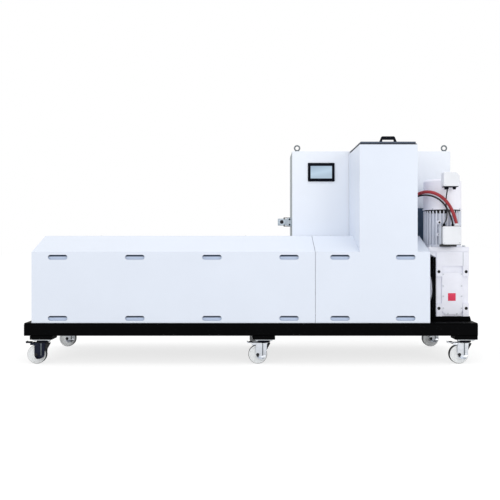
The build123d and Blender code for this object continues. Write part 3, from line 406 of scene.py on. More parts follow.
@dataclass(frozen=True)
class ScreenFinish:
    """A lit display with a soft pale blue wash, brighter along a slanting band.

    Args:
        top: colour at the upper left.
        bottom: colour at the lower right.
        glow: strength of the light it gives.
        slant: how far the wash leans across the screen.
        band_place: share of the wash at which the band lies.
        band_gain: how much brighter the band is.
    """

    top: Colour = (0.40, 0.52, 0.66)
    bottom: Colour = (0.52, 0.66, 0.79)
    glow: float = 0.82
    slant: float = -0.35
    band_place: float = 0.32
    band_gain: float = 1.18

    def material(self, low: Place, high: Place) -> bpy.types.Material:
        """Build the display's material.

        Args:
            low: lowest corner of the screen.
            high: highest corner of the screen.

        Returns:
            The Blender material.
        """
        material = bpy.data.materials.new("lit_display")
        material.use_nodes = True
        tree = material.node_tree
        link = tree.links.new
        shader = tree.nodes["Principled BSDF"]
        Groups.fill(shader, {"Base Color": (0.02, 0.025, 0.03, 1.0), "Roughness": 0.12,
                             "Specular IOR Level": 0.2, "Emission Strength": self.glow})
        place = Groups.node(tree, "TexCoord")
        spread = (high[0] - low[0], 1.0, high[2] - low[2])
        fit = Groups.node(tree, "Mapping", vector_type="TEXTURE")
        Groups.fill(fit, {"Location": low, "Scale": spread})
        split = Groups.node(tree, "SeparateXYZ")
        lean = Groups.node(tree, "Math", {1: self.slant}, operation="MULTIPLY_ADD")
        ramp = Groups.node(tree, "ValToRGB")
        ramp.color_ramp.elements[0].color = (*self.bottom, 1.0)
        ramp.color_ramp.elements[1].color = (*self.top, 1.0)
        band = ramp.color_ramp.elements.new(self.band_place)
        band.color = (*[min(1.0, part * self.band_gain) for part in self.bottom], 1.0)
        link(place.outputs["Object"], fit.inputs["Vector"])
        link(fit.outputs["Vector"], split.inputs[0])
        link(split.outputs["X"], lean.inputs[0])
        link(split.outputs["Z"], lean.inputs[2])
        link(lean.outputs[0], ramp.inputs["Fac"])
        link(ramp.outputs["Color"], shader.inputs["Emission Color"])
        return material


class Bench:
    """Hand tools: starting a piece, shaping it in edit mode, copying and setting it in place."""

    SMOOTH_ANGLE = 35.0
    ROUND_ANGLE = 60.0
    WELD_REACH = 0.00001
    FLAT_ANGLE = 0.4
    EDGE_ANGLE = 40.0
    FOOT_BAND = 1.0

    @staticmethod
    def corners(node: str) -> list[Vector]:
        """Lowest and highest corner of a CAD node.

        Args:
            node: the CAD node.

        Returns:
            The two corners in millimetres.
        """
        return [Vector(corner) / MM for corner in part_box(node)]

    @staticmethod
    def clear() -> None:
        """Deselect everything before an operator runs."""
        bpy.ops.object.select_all(action="DESELECT")

    @staticmethod
    def only(piece: bpy.types.Object) -> None:
        """Make one piece the only selected and active one."""
        Bench.clear()
        piece.select_set(True)
        bpy.context.view_layer.objects.active = piece

    @staticmethod
    def seat(piece: bpy.types.Object) -> None:
        """Put the object's place into its mesh."""
        Bench.only(piece)
        bpy.ops.object.transform_apply(location=True, rotation=True, scale=True)

    @staticmethod
    def smooth(piece: bpy.types.Object, degrees: float = SMOOTH_ANGLE) -> None:
        """Shade a piece smooth below an angle."""
        Bench.only(piece)
        bpy.ops.object.shade_smooth_by_angle(angle=math.radians(degrees))

    @staticmethod
    def unmark(piece: bpy.types.Object) -> None:
        """Make a piece the active one with nothing in its mesh selected."""
        Bench.only(piece)
        for elements in (piece.data.vertices, piece.data.edges, piece.data.polygons):
            for element in elements:
                element.select = False

    @staticmethod
    def taper(piece: bpy.types.Object, share: float, pivot: Place) -> None:
        """Shorten a block's lower face along the machine.

        Args:
            piece: the block.
            share: the share of the length that is left.
            pivot: the point that keeps its place, in millimetres.
        """
        Bench.unmark(piece)
        lowest = min(piece.data.polygons, key=lambda face: face.center.z)
        lowest.select = True
        bpy.ops.object.mode_set(mode="EDIT")
        bpy.ops.mesh.select_mode(type="FACE")
        bpy.ops.transform.resize(value=(share, 1.0, 1.0), center_override=[value * MM for value in pivot])
        bpy.ops.object.mode_set(mode="OBJECT")

    @staticmethod
    def round_foot(piece: bpy.types.Object, radius: float, segments: int) -> None:
        """Round the edges of a block's lower face.

        Args:
            piece: the block.
            radius: the rounding in millimetres.
            segments: steps in the rounding.
        """
        Bench.unmark(piece)
        heights = [vertex.co.z / MM for vertex in piece.data.vertices]
        limit = min(heights) + Bench.FOOT_BAND
        for edge in piece.data.edges:
            edge.select = max(heights[index] for index in edge.vertices) < limit
        bpy.ops.object.mode_set(mode="EDIT")
        bpy.ops.mesh.select_mode(type="EDGE")
        bpy.ops.mesh.bevel(offset=radius * MM, segments=segments, affect="EDGES")
        bpy.ops.object.mode_set(mode="OBJECT")
        Bench.smooth(piece)

    @staticmethod
    def turn(piece: bpy.types.Object, place: Place, along: Place = UP) -> bpy.types.Object:
        """Stand a piece made on the origin at a place, pointing along a direction.

        Args:
            piece: the piece.
            place: where its foot goes, in millimetres.
            along: the way its Z axis points.

        Returns:
            The same piece, with its place in its mesh.
        """
        aim = Vector(along).to_track_quat("Z", "Y").to_matrix().to_4x4()
        piece.matrix_world = Matrix.Translation(Vector(place) * MM) @ aim
        Bench.seat(piece)
        return piece

    @staticmethod
    def join(name: str, pieces: Sequence[bpy.types.Object]) -> bpy.types.Object:
        """Join pieces into one mesh."""
        Bench.clear()
        for piece in pieces:
            piece.select_set(True)
        bpy.context.view_layer.objects.active = pieces[0]
        if len(pieces) > 1:
            bpy.ops.object.join()
        joined = bpy.context.object
        joined.name = name
        return joined

    @staticmethod
    def keep(piece: bpy.types.Object, finish: Finish, body: str = "machine",
             nodes: Sequence[str] = ()) -> bpy.types.Object:
        """Give a new piece its finish, its body and the nodes that it stands for.

        Args:
            piece: the new piece.
            finish: its finish.
            body: the body it moves with.
            nodes: CAD nodes that it replaces.

        Returns:
            The same piece.
        """
        piece.data.materials.clear()
        piece.data.materials.append(finish.material())
        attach(piece, body)
        if nodes:
            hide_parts(*nodes)
        LOG.info("piece %s rides %s", piece.name, body)
        return piece

    @staticmethod
    def spread(shape: "Union[Turned, Screw]", name: str, spots: Sequence[Spot], finish: Finish,
               body: str = "machine") -> None:
        """Copy a shape to many places, join the copies and keep them.

        Args:
            shape: the shape.
            name: the joined piece's name.
            spots: for each copy its place and direction.
            finish: the finish of all.
            body: the body they move with.
        """
        master = shape.make("master")
        made = []
        for place, along in spots:
            copy = master.copy()
            copy.data = master.data.copy()
            bpy.context.collection.objects.link(copy)
            made.append(Bench.turn(copy, place, along))
        bpy.data.objects.remove(master)
        Bench.keep(Bench.join(name, made), finish, body)

    @staticmethod
    def dress(node: str, finish: Finish, edge: float = 0.0, segments: int = 2) -> None:
        """Give a CAD node its finish and softened edges.

        Args:
            node: the CAD node.
            finish: its finish.
            edge: width of the edge rounding in millimetres, 0 for none.
            segments: steps in the rounding.
        """
        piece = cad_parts[node]
        material = finish.material()
        if not piece.material_slots:
            piece.data.materials.append(material)
        for place in piece.material_slots:
            place.material = material
        if edge > 0.0:
            weld = piece.modifiers.new("weld", "WELD")
            weld.merge_threshold = Bench.WELD_REACH
            merge = piece.modifiers.new("flat_faces", "DECIMATE")
            merge.decimate_type = "DISSOLVE"
            merge.angle_limit = math.radians(Bench.FLAT_ANGLE)
            bevel = piece.modifiers.new("edge", "BEVEL")
            bevel.width = edge * MM
            bevel.segments = segments
            bevel.limit_method = "ANGLE"
            bevel.angle_limit = math.radians(Bench.EDGE_ANGLE)
            level = piece.modifiers.new("level_faces", "WEIGHTED_NORMAL")
            level.keep_sharp = True
        LOG.info("node %s in %s", node, finish.name)


@dataclass(frozen=True)
class Block:
    """A box between two corners with rounded edges, in millimetres.

    Args:
        low: lowest corner.
        high: highest corner.
        edge: width of the edge rounding, 0 for none.
        segments: steps in the rounding.
    """

    low: Place
    high: Place
    edge: float = 0.0
    segments: int = 2

    def make(self, name: str, at: Place = ORIGIN) -> bpy.types.Object:
        """Model the box.

        Args:
            name: the piece's name.
            at: the place that the corners are measured from.

        Returns:
            The piece, in place.
        """
        Bench.clear()
        ends = [(first + start, last + start) for first, last, start in zip(self.low, self.high, at)]
        middle = [(first + last) / 2 * MM for first, last in ends]
        bpy.ops.mesh.primitive_cube_add(size=1.0, location=middle)
        piece = bpy.context.object
        piece.name = name
        piece.scale = [(last - first) * MM for first, last in ends]
        Bench.seat(piece)
        if self.edge > 0.0:
            bpy.ops.object.mode_set(mode="EDIT")
            bpy.ops.mesh.select_all(action="SELECT")
            bpy.ops.mesh.bevel(offset=self.edge * MM, segments=self.segments, affect="EDGES")
            bpy.ops.object.mode_set(mode="OBJECT")
            Bench.smooth(piece)
        return piece


@dataclass(frozen=True)
class Turned:
    """A turned piece along Z.

    Args:
        steps: pairs of radius and height from the first disc on, in millimetres or as shares.
        sides: how many sides its circle has.
    """

    steps: Profile
    sides: int = 32

    def scaled(self, width: float, height: float) -> "Turned":
        """Bring an outline in shares to its size.

        Args:
            width: what the radii are shares of, in millimetres.
            height: what the heights are shares of, in millimetres.

        Returns:
            The outline in millimetres.
        """
        return Turned([(width * across, height * rise) for across, rise in self.steps], self.sides)

    def make(self, name: str) -> bpy.types.Object:
        """Start from a disc and extrude and resize it step by step.

        Args:
            name: the piece's name.

        Returns:
            The closed piece, standing on the origin.
        """
        Bench.clear()
        radius, height = self.steps[0]
        bpy.ops.mesh.primitive_circle_add(vertices=self.sides, radius=radius * MM, fill_type="NGON",
                                          location=(0.0, 0.0, height * MM))
        piece = bpy.context.object
        piece.name = name
        Bench.seat(piece)
        bpy.ops.object.mode_set(mode="EDIT")
        bpy.ops.mesh.select_mode(type="FACE")
        bpy.ops.mesh.select_all(action="SELECT")
        for next_radius, next_height in self.steps[1:]:
            rise = (next_height - height) * MM
            bpy.ops.mesh.extrude_region_move(TRANSFORM_OT_translate={"value": (0.0, 0.0, rise)})
            share = next_radius / radius
            bpy.ops.transform.resize(value=(share, share, 1.0), center_override=(0.0, 0.0, next_height * MM))
            radius, height = next_radius, next_height
        bpy.ops.mesh.select_all(action="SELECT")
        bpy.ops.mesh.normals_make_consistent(inside=False)
        bpy.ops.object.mode_set(mode="OBJECT")
        Bench.smooth(piece)
        return piece


class Head(Enum):
    """Heads of bought-in screws, as shares of their width and height."""

    HEX = Turned(((0.577, 0.18), (0.577, 0.82), (0.50, 1.0)), 6)
    SOCKET = Turned(((0.5, 0.0), (0.5, 0.86), (0.45, 1.0), (0.25, 1.0), (0.23, 0.4)), 18)
    PAN = Turned(((0.5, 0.0), (0.5, 0.4), (0.41, 0.8), (0.25, 1.0), (0.1, 0.97)), 16)


WASHER = Turned(((0.72, 0.0), (0.72, 0.14), (0.68, 0.18)), 20)


@dataclass(frozen=True)
class Screw:
    """A screw of which the head shows, with sizes in millimetres.

    Args:
        head: kind of head.
        width: diameter of the head, or its width across flats.
        height: height of the head.
    """

    head: Head
    width: float
    height: float

    def make(self, name: str) -> bpy.types.Object:
        """Model the head, with a washer under a hexagon head.

        Args:
            name: the piece's name.

        Returns:
            The piece, standing on the origin.
        """
        piece = self.head.value.scaled(self.width, self.height).make(name)
        if self.head is not Head.HEX:
            return piece
        return Bench.join(name, [piece, WASHER.scaled(self.width, self.height).make("washer")])


@dataclass
class Cable:
    """A cable held at both ends, with its route's points in millimetres.

    Args:
        name: the piece's name.
        node: the CAD node that it stands for.
        diameter: outside diameter in millimetres.
        route: points that the line follows.
        finish: the sheath's finish.
        ribs: pitch of a corrugated wall in millimetres, 0 for a plain sheath.
        rib_depth: depth of the corrugation in millimetres.
    """

    name: str
    node: str
    diameter: float
    route: Sequence[Place]
    finish: Finish
    ribs: float = 0.0
    rib_depth: float = 1.3

    def line(self, bevel: float) -> bpy.types.Object:
        """The route as a smooth spline.

        Args:
            bevel: radius of the sheath in metres, 0 for a bare line.

        Returns:
            The curve object.
        """
        curve = bpy.data.curves.new(self.name, "CURVE")
        curve.dimensions = "3D"
        curve.resolution_u = 24
        curve.bevel_depth = bevel
        curve.bevel_resolution = 5
        curve.use_fill_caps = True
        spline = curve.splines.new("NURBS")
        spline.points.add(len(self.route) - 1)
        for point, place in zip(spline.points, self.route):
            point.co = (*[value * MM for value in place], 1.0)
        spline.order_u = 3
        spline.use_endpoint_u = True
        piece = bpy.data.objects.new(self.name, curve)
        bpy.context.collection.objects.link(piece)
        return piece

    def path(self) -> list[Vector]:
        """Points read from the smooth line."""
        guide = self.line(0.0)
        mesh = bpy.data.meshes.new_from_object(guide)
        points = [vertex.co.copy() for vertex in mesh.vertices]
        bpy.data.meshes.remove(mesh)
        bpy.data.objects.remove(guide)
        return points

    def corrugated(self, points: Sequence[Vector]) -> bpy.types.Object:
        """A ribbed tube that follows a line.

        Args:
            points: the line's points.

        Returns:
            The closed tube.
        """
        sides = 20
        steps = 4
        lengths = [0.0]
        for before, after in zip(points, points[1:]):
            lengths.append(lengths[-1] + (after - before).length)
        total = lengths[-1]
        rings = int(round(total / (self.ribs * MM))) * steps
        verts = []
        faces = []
        side = Vector(UP)
        index = 0
        for ring in range(rings + 1):
            along = total * ring / rings
            while index < len(points) - 2 and lengths[index + 1] < along:
                index += 1
            start, end = points[index], points[index + 1]
            share = (along - lengths[index]) / (lengths[index + 1] - lengths[index])
            centre = start.lerp(end, share)
            ahead = (end - start).normalized()
            side = (side - ahead * side.dot(ahead)).normalized()
            other = ahead.cross(side)
            wave = 0.5 - 0.5 * math.cos(2.0 * math.pi * ring / steps)
            radius = (self.diameter / 2 - self.rib_depth * wave) * MM
            for corner in range(sides):
                angle = 2.0 * math.pi * corner / sides
                verts.append(centre + (side * math.cos(angle) + other * math.sin(angle)) * radius)
        for ring in range(rings):
            for corner in range(sides):
                first = ring * sides + corner
                second = ring * sides + (corner + 1) % sides
                faces.append((first, second, second + sides, first + sides))
        faces.append(tuple(range(sides - 1, -1, -1)))
        faces.append(tuple(rings * sides + corner for corner in range(sides)))
        mesh = bpy.data.meshes.new(self.name)
        mesh.from_pydata(verts, [], faces)
        mesh.update()
        piece = bpy.data.objects.new(self.name, mesh)
        bpy.context.collection.objects.link(piece)
        Bench.smooth(piece, Bench.ROUND_ANGLE)
        return piece

    def build(self) -> None:
        """Make the cable and keep it in place of its CAD node."""
        points = self.path()
        if self.ribs > 0.0:
            piece = self.corrugated(points)
        else:
            piece = self.line(self.diameter / 2 * MM)
        Bench.keep(piece, self.finish, nodes=[self.node])


CONDUIT = Cable("red_conduit_run", "motor_conduit", 23.0, [
    (1150, 70, 1090), (1147, 20, 1095), (1144, -40, 1105), (1146, -104, 1119), (1151, -172, 1136),
    (1166, -232, 1148), (1198, -272, 1153), (1246, -296, 1142), (1298, -306, 1108), (1336, -314, 1060),
    (1360, -320, 1007), (1374, -325, 962), (1379, -327, 935),
], CONDUIT_RED, ribs=4.2)
MOTOR_CABLE = Cable("motor_cable_run", "motor_cable", 12.0, [
    (1122, 70, 1072), (1121, 18, 1077), (1124, -43, 1086), (1129, -108, 1099), (1134, -176, 1116),
    (1150, -238, 1127), (1186, -278, 1131), (1236, -299, 1120), (1281, -308, 1091), (1315, -315, 1048),
    (1337, -320, 999), (1350, -325, 958), (1354, -327, 935),
], CABLE_BLACK)
BLOWER_CABLE = Cable("blower_cable_run", "blower_cable", 8.0, [
    (1322, -316, 1166), (1321, -311, 1146), (1320, -299, 1117), (1320, -288, 1085), (1324, -284, 1052),
    (1329, -284, 1019), (1329, -287, 988), (1322, -294, 962), (1311, -301, 945), (1303, -305, 935),
], CABLE_BLACK)


@dataclass
class BaseFrame:
    """The black frame, its deck and the castors' plates, with sizes in millimetres.

    Args:
        edge: rounding of the tube and plate edges.
        plate_thickness: thickness of the castor plates.
        plate_edge: rounding of the castor plates.
        bolt: the castor plates' bolts.
        bolt_reach_x: distance of a bolt from the swivel axis along the machine.
        bolt_reach_y: distance of a bolt from the swivel axis across the machine.
        cover_radius: radius of the black skirts under the castor plates, painted shade for the gap over the
            forks.
        cover_height: height of the skirts.
        cover_wall: thickness of their wall.
    """

    edge: float = 1.5
    plate_thickness: float = 5.0
    plate_edge: float = 0.8
    bolt: Screw = Screw(Head.HEX, 13.0, 6.0)
    bolt_reach_x: float = 46.0
    bolt_reach_y: float = 36.0
    cover_radius: float = 44.0
    cover_height: float = 15.0
    cover_wall: float = 1.2

    def build(self, castors: Sequence[tuple[float, float]]) -> None:
        """Dress the frame and bolt the castor plates to it.

        Args:
            castors: swivel axes in millimetres.
        """
        for node in ("front_beam", "rear_beam", "cross_beams", "deck_plate", "castor_pads",
                     "gearbox_pedestal"):
            Bench.dress(node, BLACK_FRAME, self.edge)
        Bench.dress("beam_end_caps", BLACK_PLASTIC, self.edge)
        Bench.dress("castor_top_plates", ZINC_STEEL, self.plate_edge)
        bottom = Bench.corners("castor_top_plates")[1].z - self.plate_thickness
        spots = [((x + a * self.bolt_reach_x, y + b * self.bolt_reach_y, bottom), DOWN)
                 for x, y in castors for a in (-1, 1) for b in (-1, 1)]
        Bench.spread(self.bolt, "castor_plate_bolts", spots, ZINC_STEEL)
        # The black skirts stand in as painted shade for the gap over each fork.
        covers = [self.cover((x, y, bottom - self.cover_height / 2)) for x, y in castors]
        Bench.keep(Bench.join("castor_shade_skirts", covers), BLACK_PLASTIC)

    def cover(self, middle: Place) -> bpy.types.Object:
        """A black skirt round a swivel race, painted shade for the dark gap between the plate and the fork's
        crown.

        Args:
            middle: its middle in millimetres.

        Returns:
            The open ring.
        """
        Bench.clear()
        bpy.ops.mesh.primitive_cylinder_add(
            vertices=48, radius=self.cover_radius * MM, depth=self.cover_height * MM,
            end_fill_type="NOTHING", location=[value * MM for value in middle])
        cover = bpy.context.object
        Bench.seat(cover)
        bpy.ops.object.mode_set(mode="EDIT")
        bpy.ops.mesh.select_all(action="SELECT")
        bpy.ops.mesh.solidify(thickness=self.cover_wall * MM)
        bpy.ops.mesh.normals_make_consistent(inside=False)
        bpy.ops.object.mode_set(mode="OBJECT")
        Bench.smooth(cover)
        return cover


@dataclass
class Castor:
    """One swivel castor: a pressed fork, a white wheel whose tread is painted shade, and a brake pedal.

    Sizes are in millimetres. Spans and boxes count from the swivel axis at floor height.

    Args:
        number: which castor it is.
        swivel: its swivel axis.
        plating: finish of the fork and the pedal.
        trail: how far the axle trails behind it.
        wheel_radius: radius of the wheel.
        wheel_sides: sides of the wheel's circle.
        tread_height: how far the tread stands over the rim.
        hub: half outline of the hub and the web, as radius and half width.
        rim: half outline of the rim, as distance inside its edge and half width.
        tread: half outline of the tread, as distance inside the wheel's edge and half width.
        fork_half: distance of a leg's outer face from the wheel's middle.
        leg_depths: how far a leg's inner face and its raised fields' foot lie behind the outer face.
        leg_span: where a leg starts and ends along the machine.
        leg_rise: height of its foot and its top.
        leg_taper: length left at the foot.
        leg_round: rounding of the foot and its steps.
        ear_span: where the ear for the pedal's pin starts and ends.
        ear_rise: height of its foot and its top.
        ear_edge: rounding of its edges.
        fields: start, end and foot of each raised field.
        field_top: height of the fields' top.
        field_round: rounding of a field's foot and its steps.
        crown: the crown over the wheel.
        bead: a dark strip sunk in the groove between a leg's fields, painted shade for the groove, from the
            middle of its leg.
        bead_half: distance of a bead from the wheel's middle.
        gusset: the rear gusset, near-black as painted shade for the gap behind the fork.
        gusset_taper: length left at its foot.
        race: the lower race, near-black as painted shade for the gap under the plate.
        axle_head: the heads at the axle's ends.
        pad: the pedal's pad.
        pedal_edge: rounding of the pedal's edges.
    """

    number: int
    swivel: tuple[float, float]
    plating: Finish = FORK_ZINC
    trail: float = 40.0
    wheel_radius: float = 62.5
    wheel_sides: int = 56
    tread_height: float = 2.5
    hub: Profile = ((9.0, 22.0), (15.0, 22.0), (16.5, 20.5), (17.5, 16.0), (20.0, 14.8))
    rim: Profile = ((12.0, 14.8), (9.5, 15.6), (8.0, 18.4), (6.5, 19.0), (1.5, 19.0), (0.0, 17.5))
    tread: Profile = ((6.5, 14.6), (1.0, 14.6), (0.0, 13.6))
    fork_half: float = 30.0
    leg_depths: tuple[float, float] = (4.0, 2.8)
    leg_span: tuple[float, float] = (-52.0, 22.0)
    leg_rise: tuple[float, float] = (38.0, 140.0)
    leg_taper: float = 0.9
    leg_round: tuple[float, int] = (26.0, 6)
    ear_span: tuple[float, float] = (-80.0, -50.0)
    ear_rise: tuple[float, float] = (125.5, 139.5)
    ear_edge: float = 1.0
    fields: Sequence[Place] = ((-51.0, -11.0, 48.0), (-3.0, 15.0, 66.0))
    field_top: float = 139.0
    field_round: tuple[float, int] = (10.0, 4)
    crown: Block = Block((-35.0, -28.0, 136.0), (27.0, 28.0, 140.0), 1.5)
    bead: Block = Block((-10.4, -1.2, 56.0), (-3.6, 1.2, 138.0), 0.8)
    bead_half: float = 28.2
    gusset: Block = Block((18.0, -24.0, 94.0), (43.0, 24.0, 135.5))
    gusset_taper: float = 0.1
    race: Turned = Turned(((30.0, 140.0), (30.0, 144.0), (25.0, 148.6)))
    axle_head: Screw = Screw(Head.HEX, 15.0, 6.0)
    pad: Block = Block((-101.0, -18.0, 141.1), (-78.0, 18.0, 145.5), 1.2)
    pedal_edge: float = 0.8

    def disc(self, name: str, half: Profile, axle: Place) -> bpy.types.Object:
        """A turned disc that is the same on both sides.

        Args:
            name: the piece's name.
            half: pairs of radius and half width, from the axle outwards.
            axle: middle of the axle in millimetres.

        Returns:
            The disc on its axle.
        """
        steps = [(r, -h) for r, h in half] + [(r, h) for r, h in reversed(half)]
        return Bench.turn(Turned(steps, self.wheel_sides).make(name), axle, FRONT)

    def wheel(self, axle: Place) -> None:
        """Model the wheel's disc and its tread.

        Args:
            axle: middle of the axle in millimetres.
        """
        body = f"wheel_{self.number}"
        edge = self.wheel_radius - self.tread_height
        half = [*self.hub, *[(edge - inside, width) for inside, width in self.rim]]
        disc = self.disc(f"wheel_disc_{self.number}", half, axle)
        Bench.keep(disc, WHEEL_WHITE, body, [f"castor_wheel_{self.number}"])
        # The tread band is near-black as painted shade.
        band = [(self.wheel_radius - inside, width) for inside, width in self.tread]
        Bench.keep(self.disc(f"wheel_tread_{self.number}", band, axle), TREAD_SHADE_AND_DUST, body)

    def leg(self, face: float, side: int) -> list[bpy.types.Object]:
        """One pressed leg with two raised fields and an ear for the pedal's pin.

        Args:
            face: outer face of the leg across the machine, in millimetres.
            side: -1 for the leg towards the front, 1 for the other.

        Returns:
            The leg's pieces.
        """
        at = (self.swivel[0], 0.0, 0.0)
        inner, step = [face - side * depth for depth in self.leg_depths]
        near, far = sorted((inner, step))
        (start, end), (foot, top) = self.leg_span, self.leg_rise
        plate = Block((start, near, foot), (end, far, top)).make("fork_leg", at)
        Bench.taper(plate, self.leg_taper, (at[0] + start, 0.0, foot))
        Bench.round_foot(plate, *self.leg_round)
        (start, end), (foot, top) = self.ear_span, self.ear_rise
        ear = Block((start, near, foot), (end, far, top), self.ear_edge).make("fork_ear", at)
        pieces = [plate, ear]
        near, far = sorted((step, face))
        for start, end, foot in self.fields:
            field = Block((start, near, foot), (end, far, self.field_top)).make("fork_field", at)
            Bench.round_foot(field, *self.field_round)
            pieces.append(field)
        return pieces

    def fork(self, axle: Place) -> None:
        """Model the fork: two legs, a crown, a rear gusset, the lower race and the axle's ends.

        Args:
            axle: middle of the axle in millimetres.
        """
        x, y = self.swivel
        at = (x, y, 0.0)
        body = f"castor_{self.number}"
        crown = self.crown.make("fork_crown", at)
        legs = self.leg(y - self.fork_half, -1) + self.leg(y + self.fork_half, 1)
        whole = Bench.join(f"pressed_fork_{self.number}", [crown, *legs])
        Bench.keep(whole, self.plating, body, [f"castor_fork_{self.number}"])
        # The dark strips in the leg grooves are painted shade for the grooves.
        beads = [self.bead.make("fork_groove_shade", (x, y + side * self.bead_half, 0.0)) for side in (-1, 1)]
        Bench.keep(Bench.join(f"fork_groove_shades_{self.number}", beads), EYE_STEEL_AND_GROOVE_SHADE, body)
        # The gusset and the lower race are near-black as painted shade for the dark gaps behind and under
        # the crown; the axle heads share their finish.
        gusset = self.gusset.make("fork_gusset", at)
        start, _, foot = self.gusset.low
        Bench.taper(gusset, self.gusset_taper, (x + start, 0.0, foot))
        race = Bench.turn(self.race.make("lower_race"), at)
        ends = [Bench.turn(self.axle_head.make("axle_head"),
                           (axle[0], y + side * self.fork_half, axle[2]), way)
                for side, way in ((-1, FRONT), (1, BACK))]
        Bench.keep(Bench.join(f"fork_dark_parts_{self.number}", [gusset, race, *ends]), DARK_PARTS_AND_SHADE, body)

    def pedal(self) -> None:
        """Dress the pedal and lay a black pad on it."""
        Bench.dress(f"brake_pedal_{self.number}", self.plating, self.pedal_edge)
        pad = self.pad.make(f"pedal_pad_{self.number}", (*self.swivel, 0.0))
        Bench.keep(pad, BLACK_PLASTIC, f"pedal_{self.number}")

    def build(self) -> None:
        """Model the wheel and the fork and dress the pedal."""
        axle = (self.swivel[0] - self.trail, self.swivel[1], self.wheel_radius)
        self.wheel(axle)
        self.fork(axle)
        self.pedal()


@dataclass
class Hood:
    """The white sheet hood with its vent liner, with sizes in millimetres.

    Args:
        edge: bend radius of the sheet edges.
        screw: the panel screws.
        screw_inset: how far they stand behind the top panels' front edge.
        screw_xs: their places along the machine.
        slot_columns: each slotted panel with its count of columns and the margin beside them.
        slot_rows: heights of the slots' middles above the panel's foot.
        lip: a lip, from a slot's middle on the panel's face.
    """

    edge: float = 1.4
    screw: Screw = Screw(Head.PAN, 9.0, 3.0)
    screw_inset: float = 16.0
    screw_xs: Sequence[float] = (-1060.0, -40.0, 560.0)
    slot_columns: Sequence[tuple] = (("front_panel_left", 4, 173.0), ("front_panel_right", 2, 162.0))
    slot_rows: tuple[float, float] = (31.0, 435.0)
    lip: Block = Block((-68.0, 8.0, -24.0), (68.0, 11.0, 5.0), 1.2)

    def slot_lips(self) -> None:
        """A folded lip behind the lower part of every front slot, with the gap above it left open."""
        lips = []
        for node, count, margin in self.slot_columns:
            low, high = Bench.corners(node)
            pitch = (high.x - low.x - 2.0 * margin) / (count - 1)
            for column in range(count):
                for rise in self.slot_rows:
                    middle = (low.x + margin + pitch * column, low.y, low.z + rise)
                    lips.append(self.lip.make("slot_lip", middle))
        Bench.keep(Bench.join("slot_lips", lips), LIP_GREY)

    def build(self) -> None:
        """Dress the panels and set the screws along the upper edge of the slope."""
        for node in ("front_panel_left", "front_panel_right", "slope_panels", "top_panels", "rear_panel",
                     "end_panel_die", "end_panel_drive"):
            Bench.dress(node, WHITE_SHEET, self.edge)
        # The vent liner's near-black is painted shade behind the slots.
        Bench.dress("vent_liner", LINER_SHADE)
        self.slot_lips()
        low, high = Bench.corners("top_panels")
        spots = [((x, low.y + self.screw_inset, high.z), UP) for x in self.screw_xs]
        Bench.spread(self.screw, "hood_screws", spots, ZINC_STEEL)


@dataclass
class Tower:
    """The feed tower with its hopper, gasket and hinged lid, with sizes in millimetres.

    Args:
        edge: bend radius of the sheet edges.
        seal_edge: rounding of the gasket and the seals.
        handle_edge: rounding of the lid's handle.
        hinge_edge: rounding of the hinges.
        seal_width: width of the seals beside the lid.
        seal_gap: distance of a seal from the tower's side.
        seal_front: distance of the seals from the tower's front.
        seal_back: where the seals end across the machine.
        seal_rise: foot and top of the seals over the tower.
        leaf_screw: the hinge screws.
        leaf_drop: how far the leaves lie below the top of the hinges.
        hinge_side: distance of a hinge from the lid's side.
        hinge_inset: distance of the hinge line from the lid's back.
        fixed_across: distance of the tower's screws from a hinge's middle.
        fixed_reaches: distances of these screws behind the hinge line.
        lid_across: distance of the lid's screws from a hinge's middle.
        lid_reaches: distances of these screws behind the hinge line.
    """

    edge: float = 1.4
    seal_edge: float = 1.5
    handle_edge: float = 2.0
    hinge_edge: float = 0.6
    seal_width: float = 8.0
    seal_gap: float = 0.5
    seal_front: float = 10.0
    seal_back: float = 6.0
    seal_rise: tuple[float, float] = (0.2, 8.0)
    leaf_screw: Screw = Screw(Head.PAN, 7.0, 2.2)
    leaf_drop: float = 11.0
    hinge_side: float = 68.0
    hinge_inset: float = 7.0
    fixed_across: float = 24.5
    fixed_reaches: Sequence[float] = (16.0, 28.0)
    lid_across: float = 7.0
    lid_reaches: Sequence[float] = (-28.0,)

    def leaf_spots(self, across: float, reaches: Sequence[float]) -> list[Spot]:
        """Places of screws on both hinges' leaves.

        Args:
            across: distance of a screw from its hinge's middle.
            reaches: distances of the screws behind the hinge line.

        Returns:
            Place and direction of each screw.
        """
        low, high = Bench.corners("lid")
        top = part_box("lid_hinge")[1][2] / MM - self.leaf_drop
        line = high.y - self.hinge_inset
        return [((x + side * across, line + reach, top), UP)
                for x in (low.x + self.hinge_side, high.x - self.hinge_side)
                for side in (-1, 1) for reach in reaches]

    def build(self) -> None:
        """Dress the tower, seal the lid and screw its hinges down."""
        Bench.dress("tower_shell", WHITE_SHEET, self.edge)
        Bench.dress("hopper_funnel", HOPPER_STEEL)
        Bench.dress("lid_gasket", GASKET_RUBBER, self.seal_edge)
        Bench.dress("lid", SLATE_LID)
        low, high = Bench.corners("tower_shell")
        foot, top = [high.z + rise for rise in self.seal_rise]
        seals = [Block((left, low.y + self.seal_front, foot), (left + self.seal_width, self.seal_back, top),
                       self.seal_edge).make("lid_seal")
                 for left in (low.x + self.seal_gap, high.x - self.seal_gap - self.seal_width)]
        Bench.keep(Bench.join("lid_side_seals", seals), GASKET_RUBBER)
        Bench.dress("lid_handle", BLACK_PLASTIC, self.handle_edge, FINE_STEPS)
        Bench.dress("lid_hinge", SLATE_LID, self.hinge_edge)
        for name, body, across, reaches in (
                ("hinge_screws_fixed", "machine", self.fixed_across, self.fixed_reaches),
                ("hinge_screws_lid", "lid", self.lid_across, self.lid_reaches)):
            Bench.spread(self.leaf_screw, name, self.leaf_spots(across, reaches), ZINC_STEEL, body)


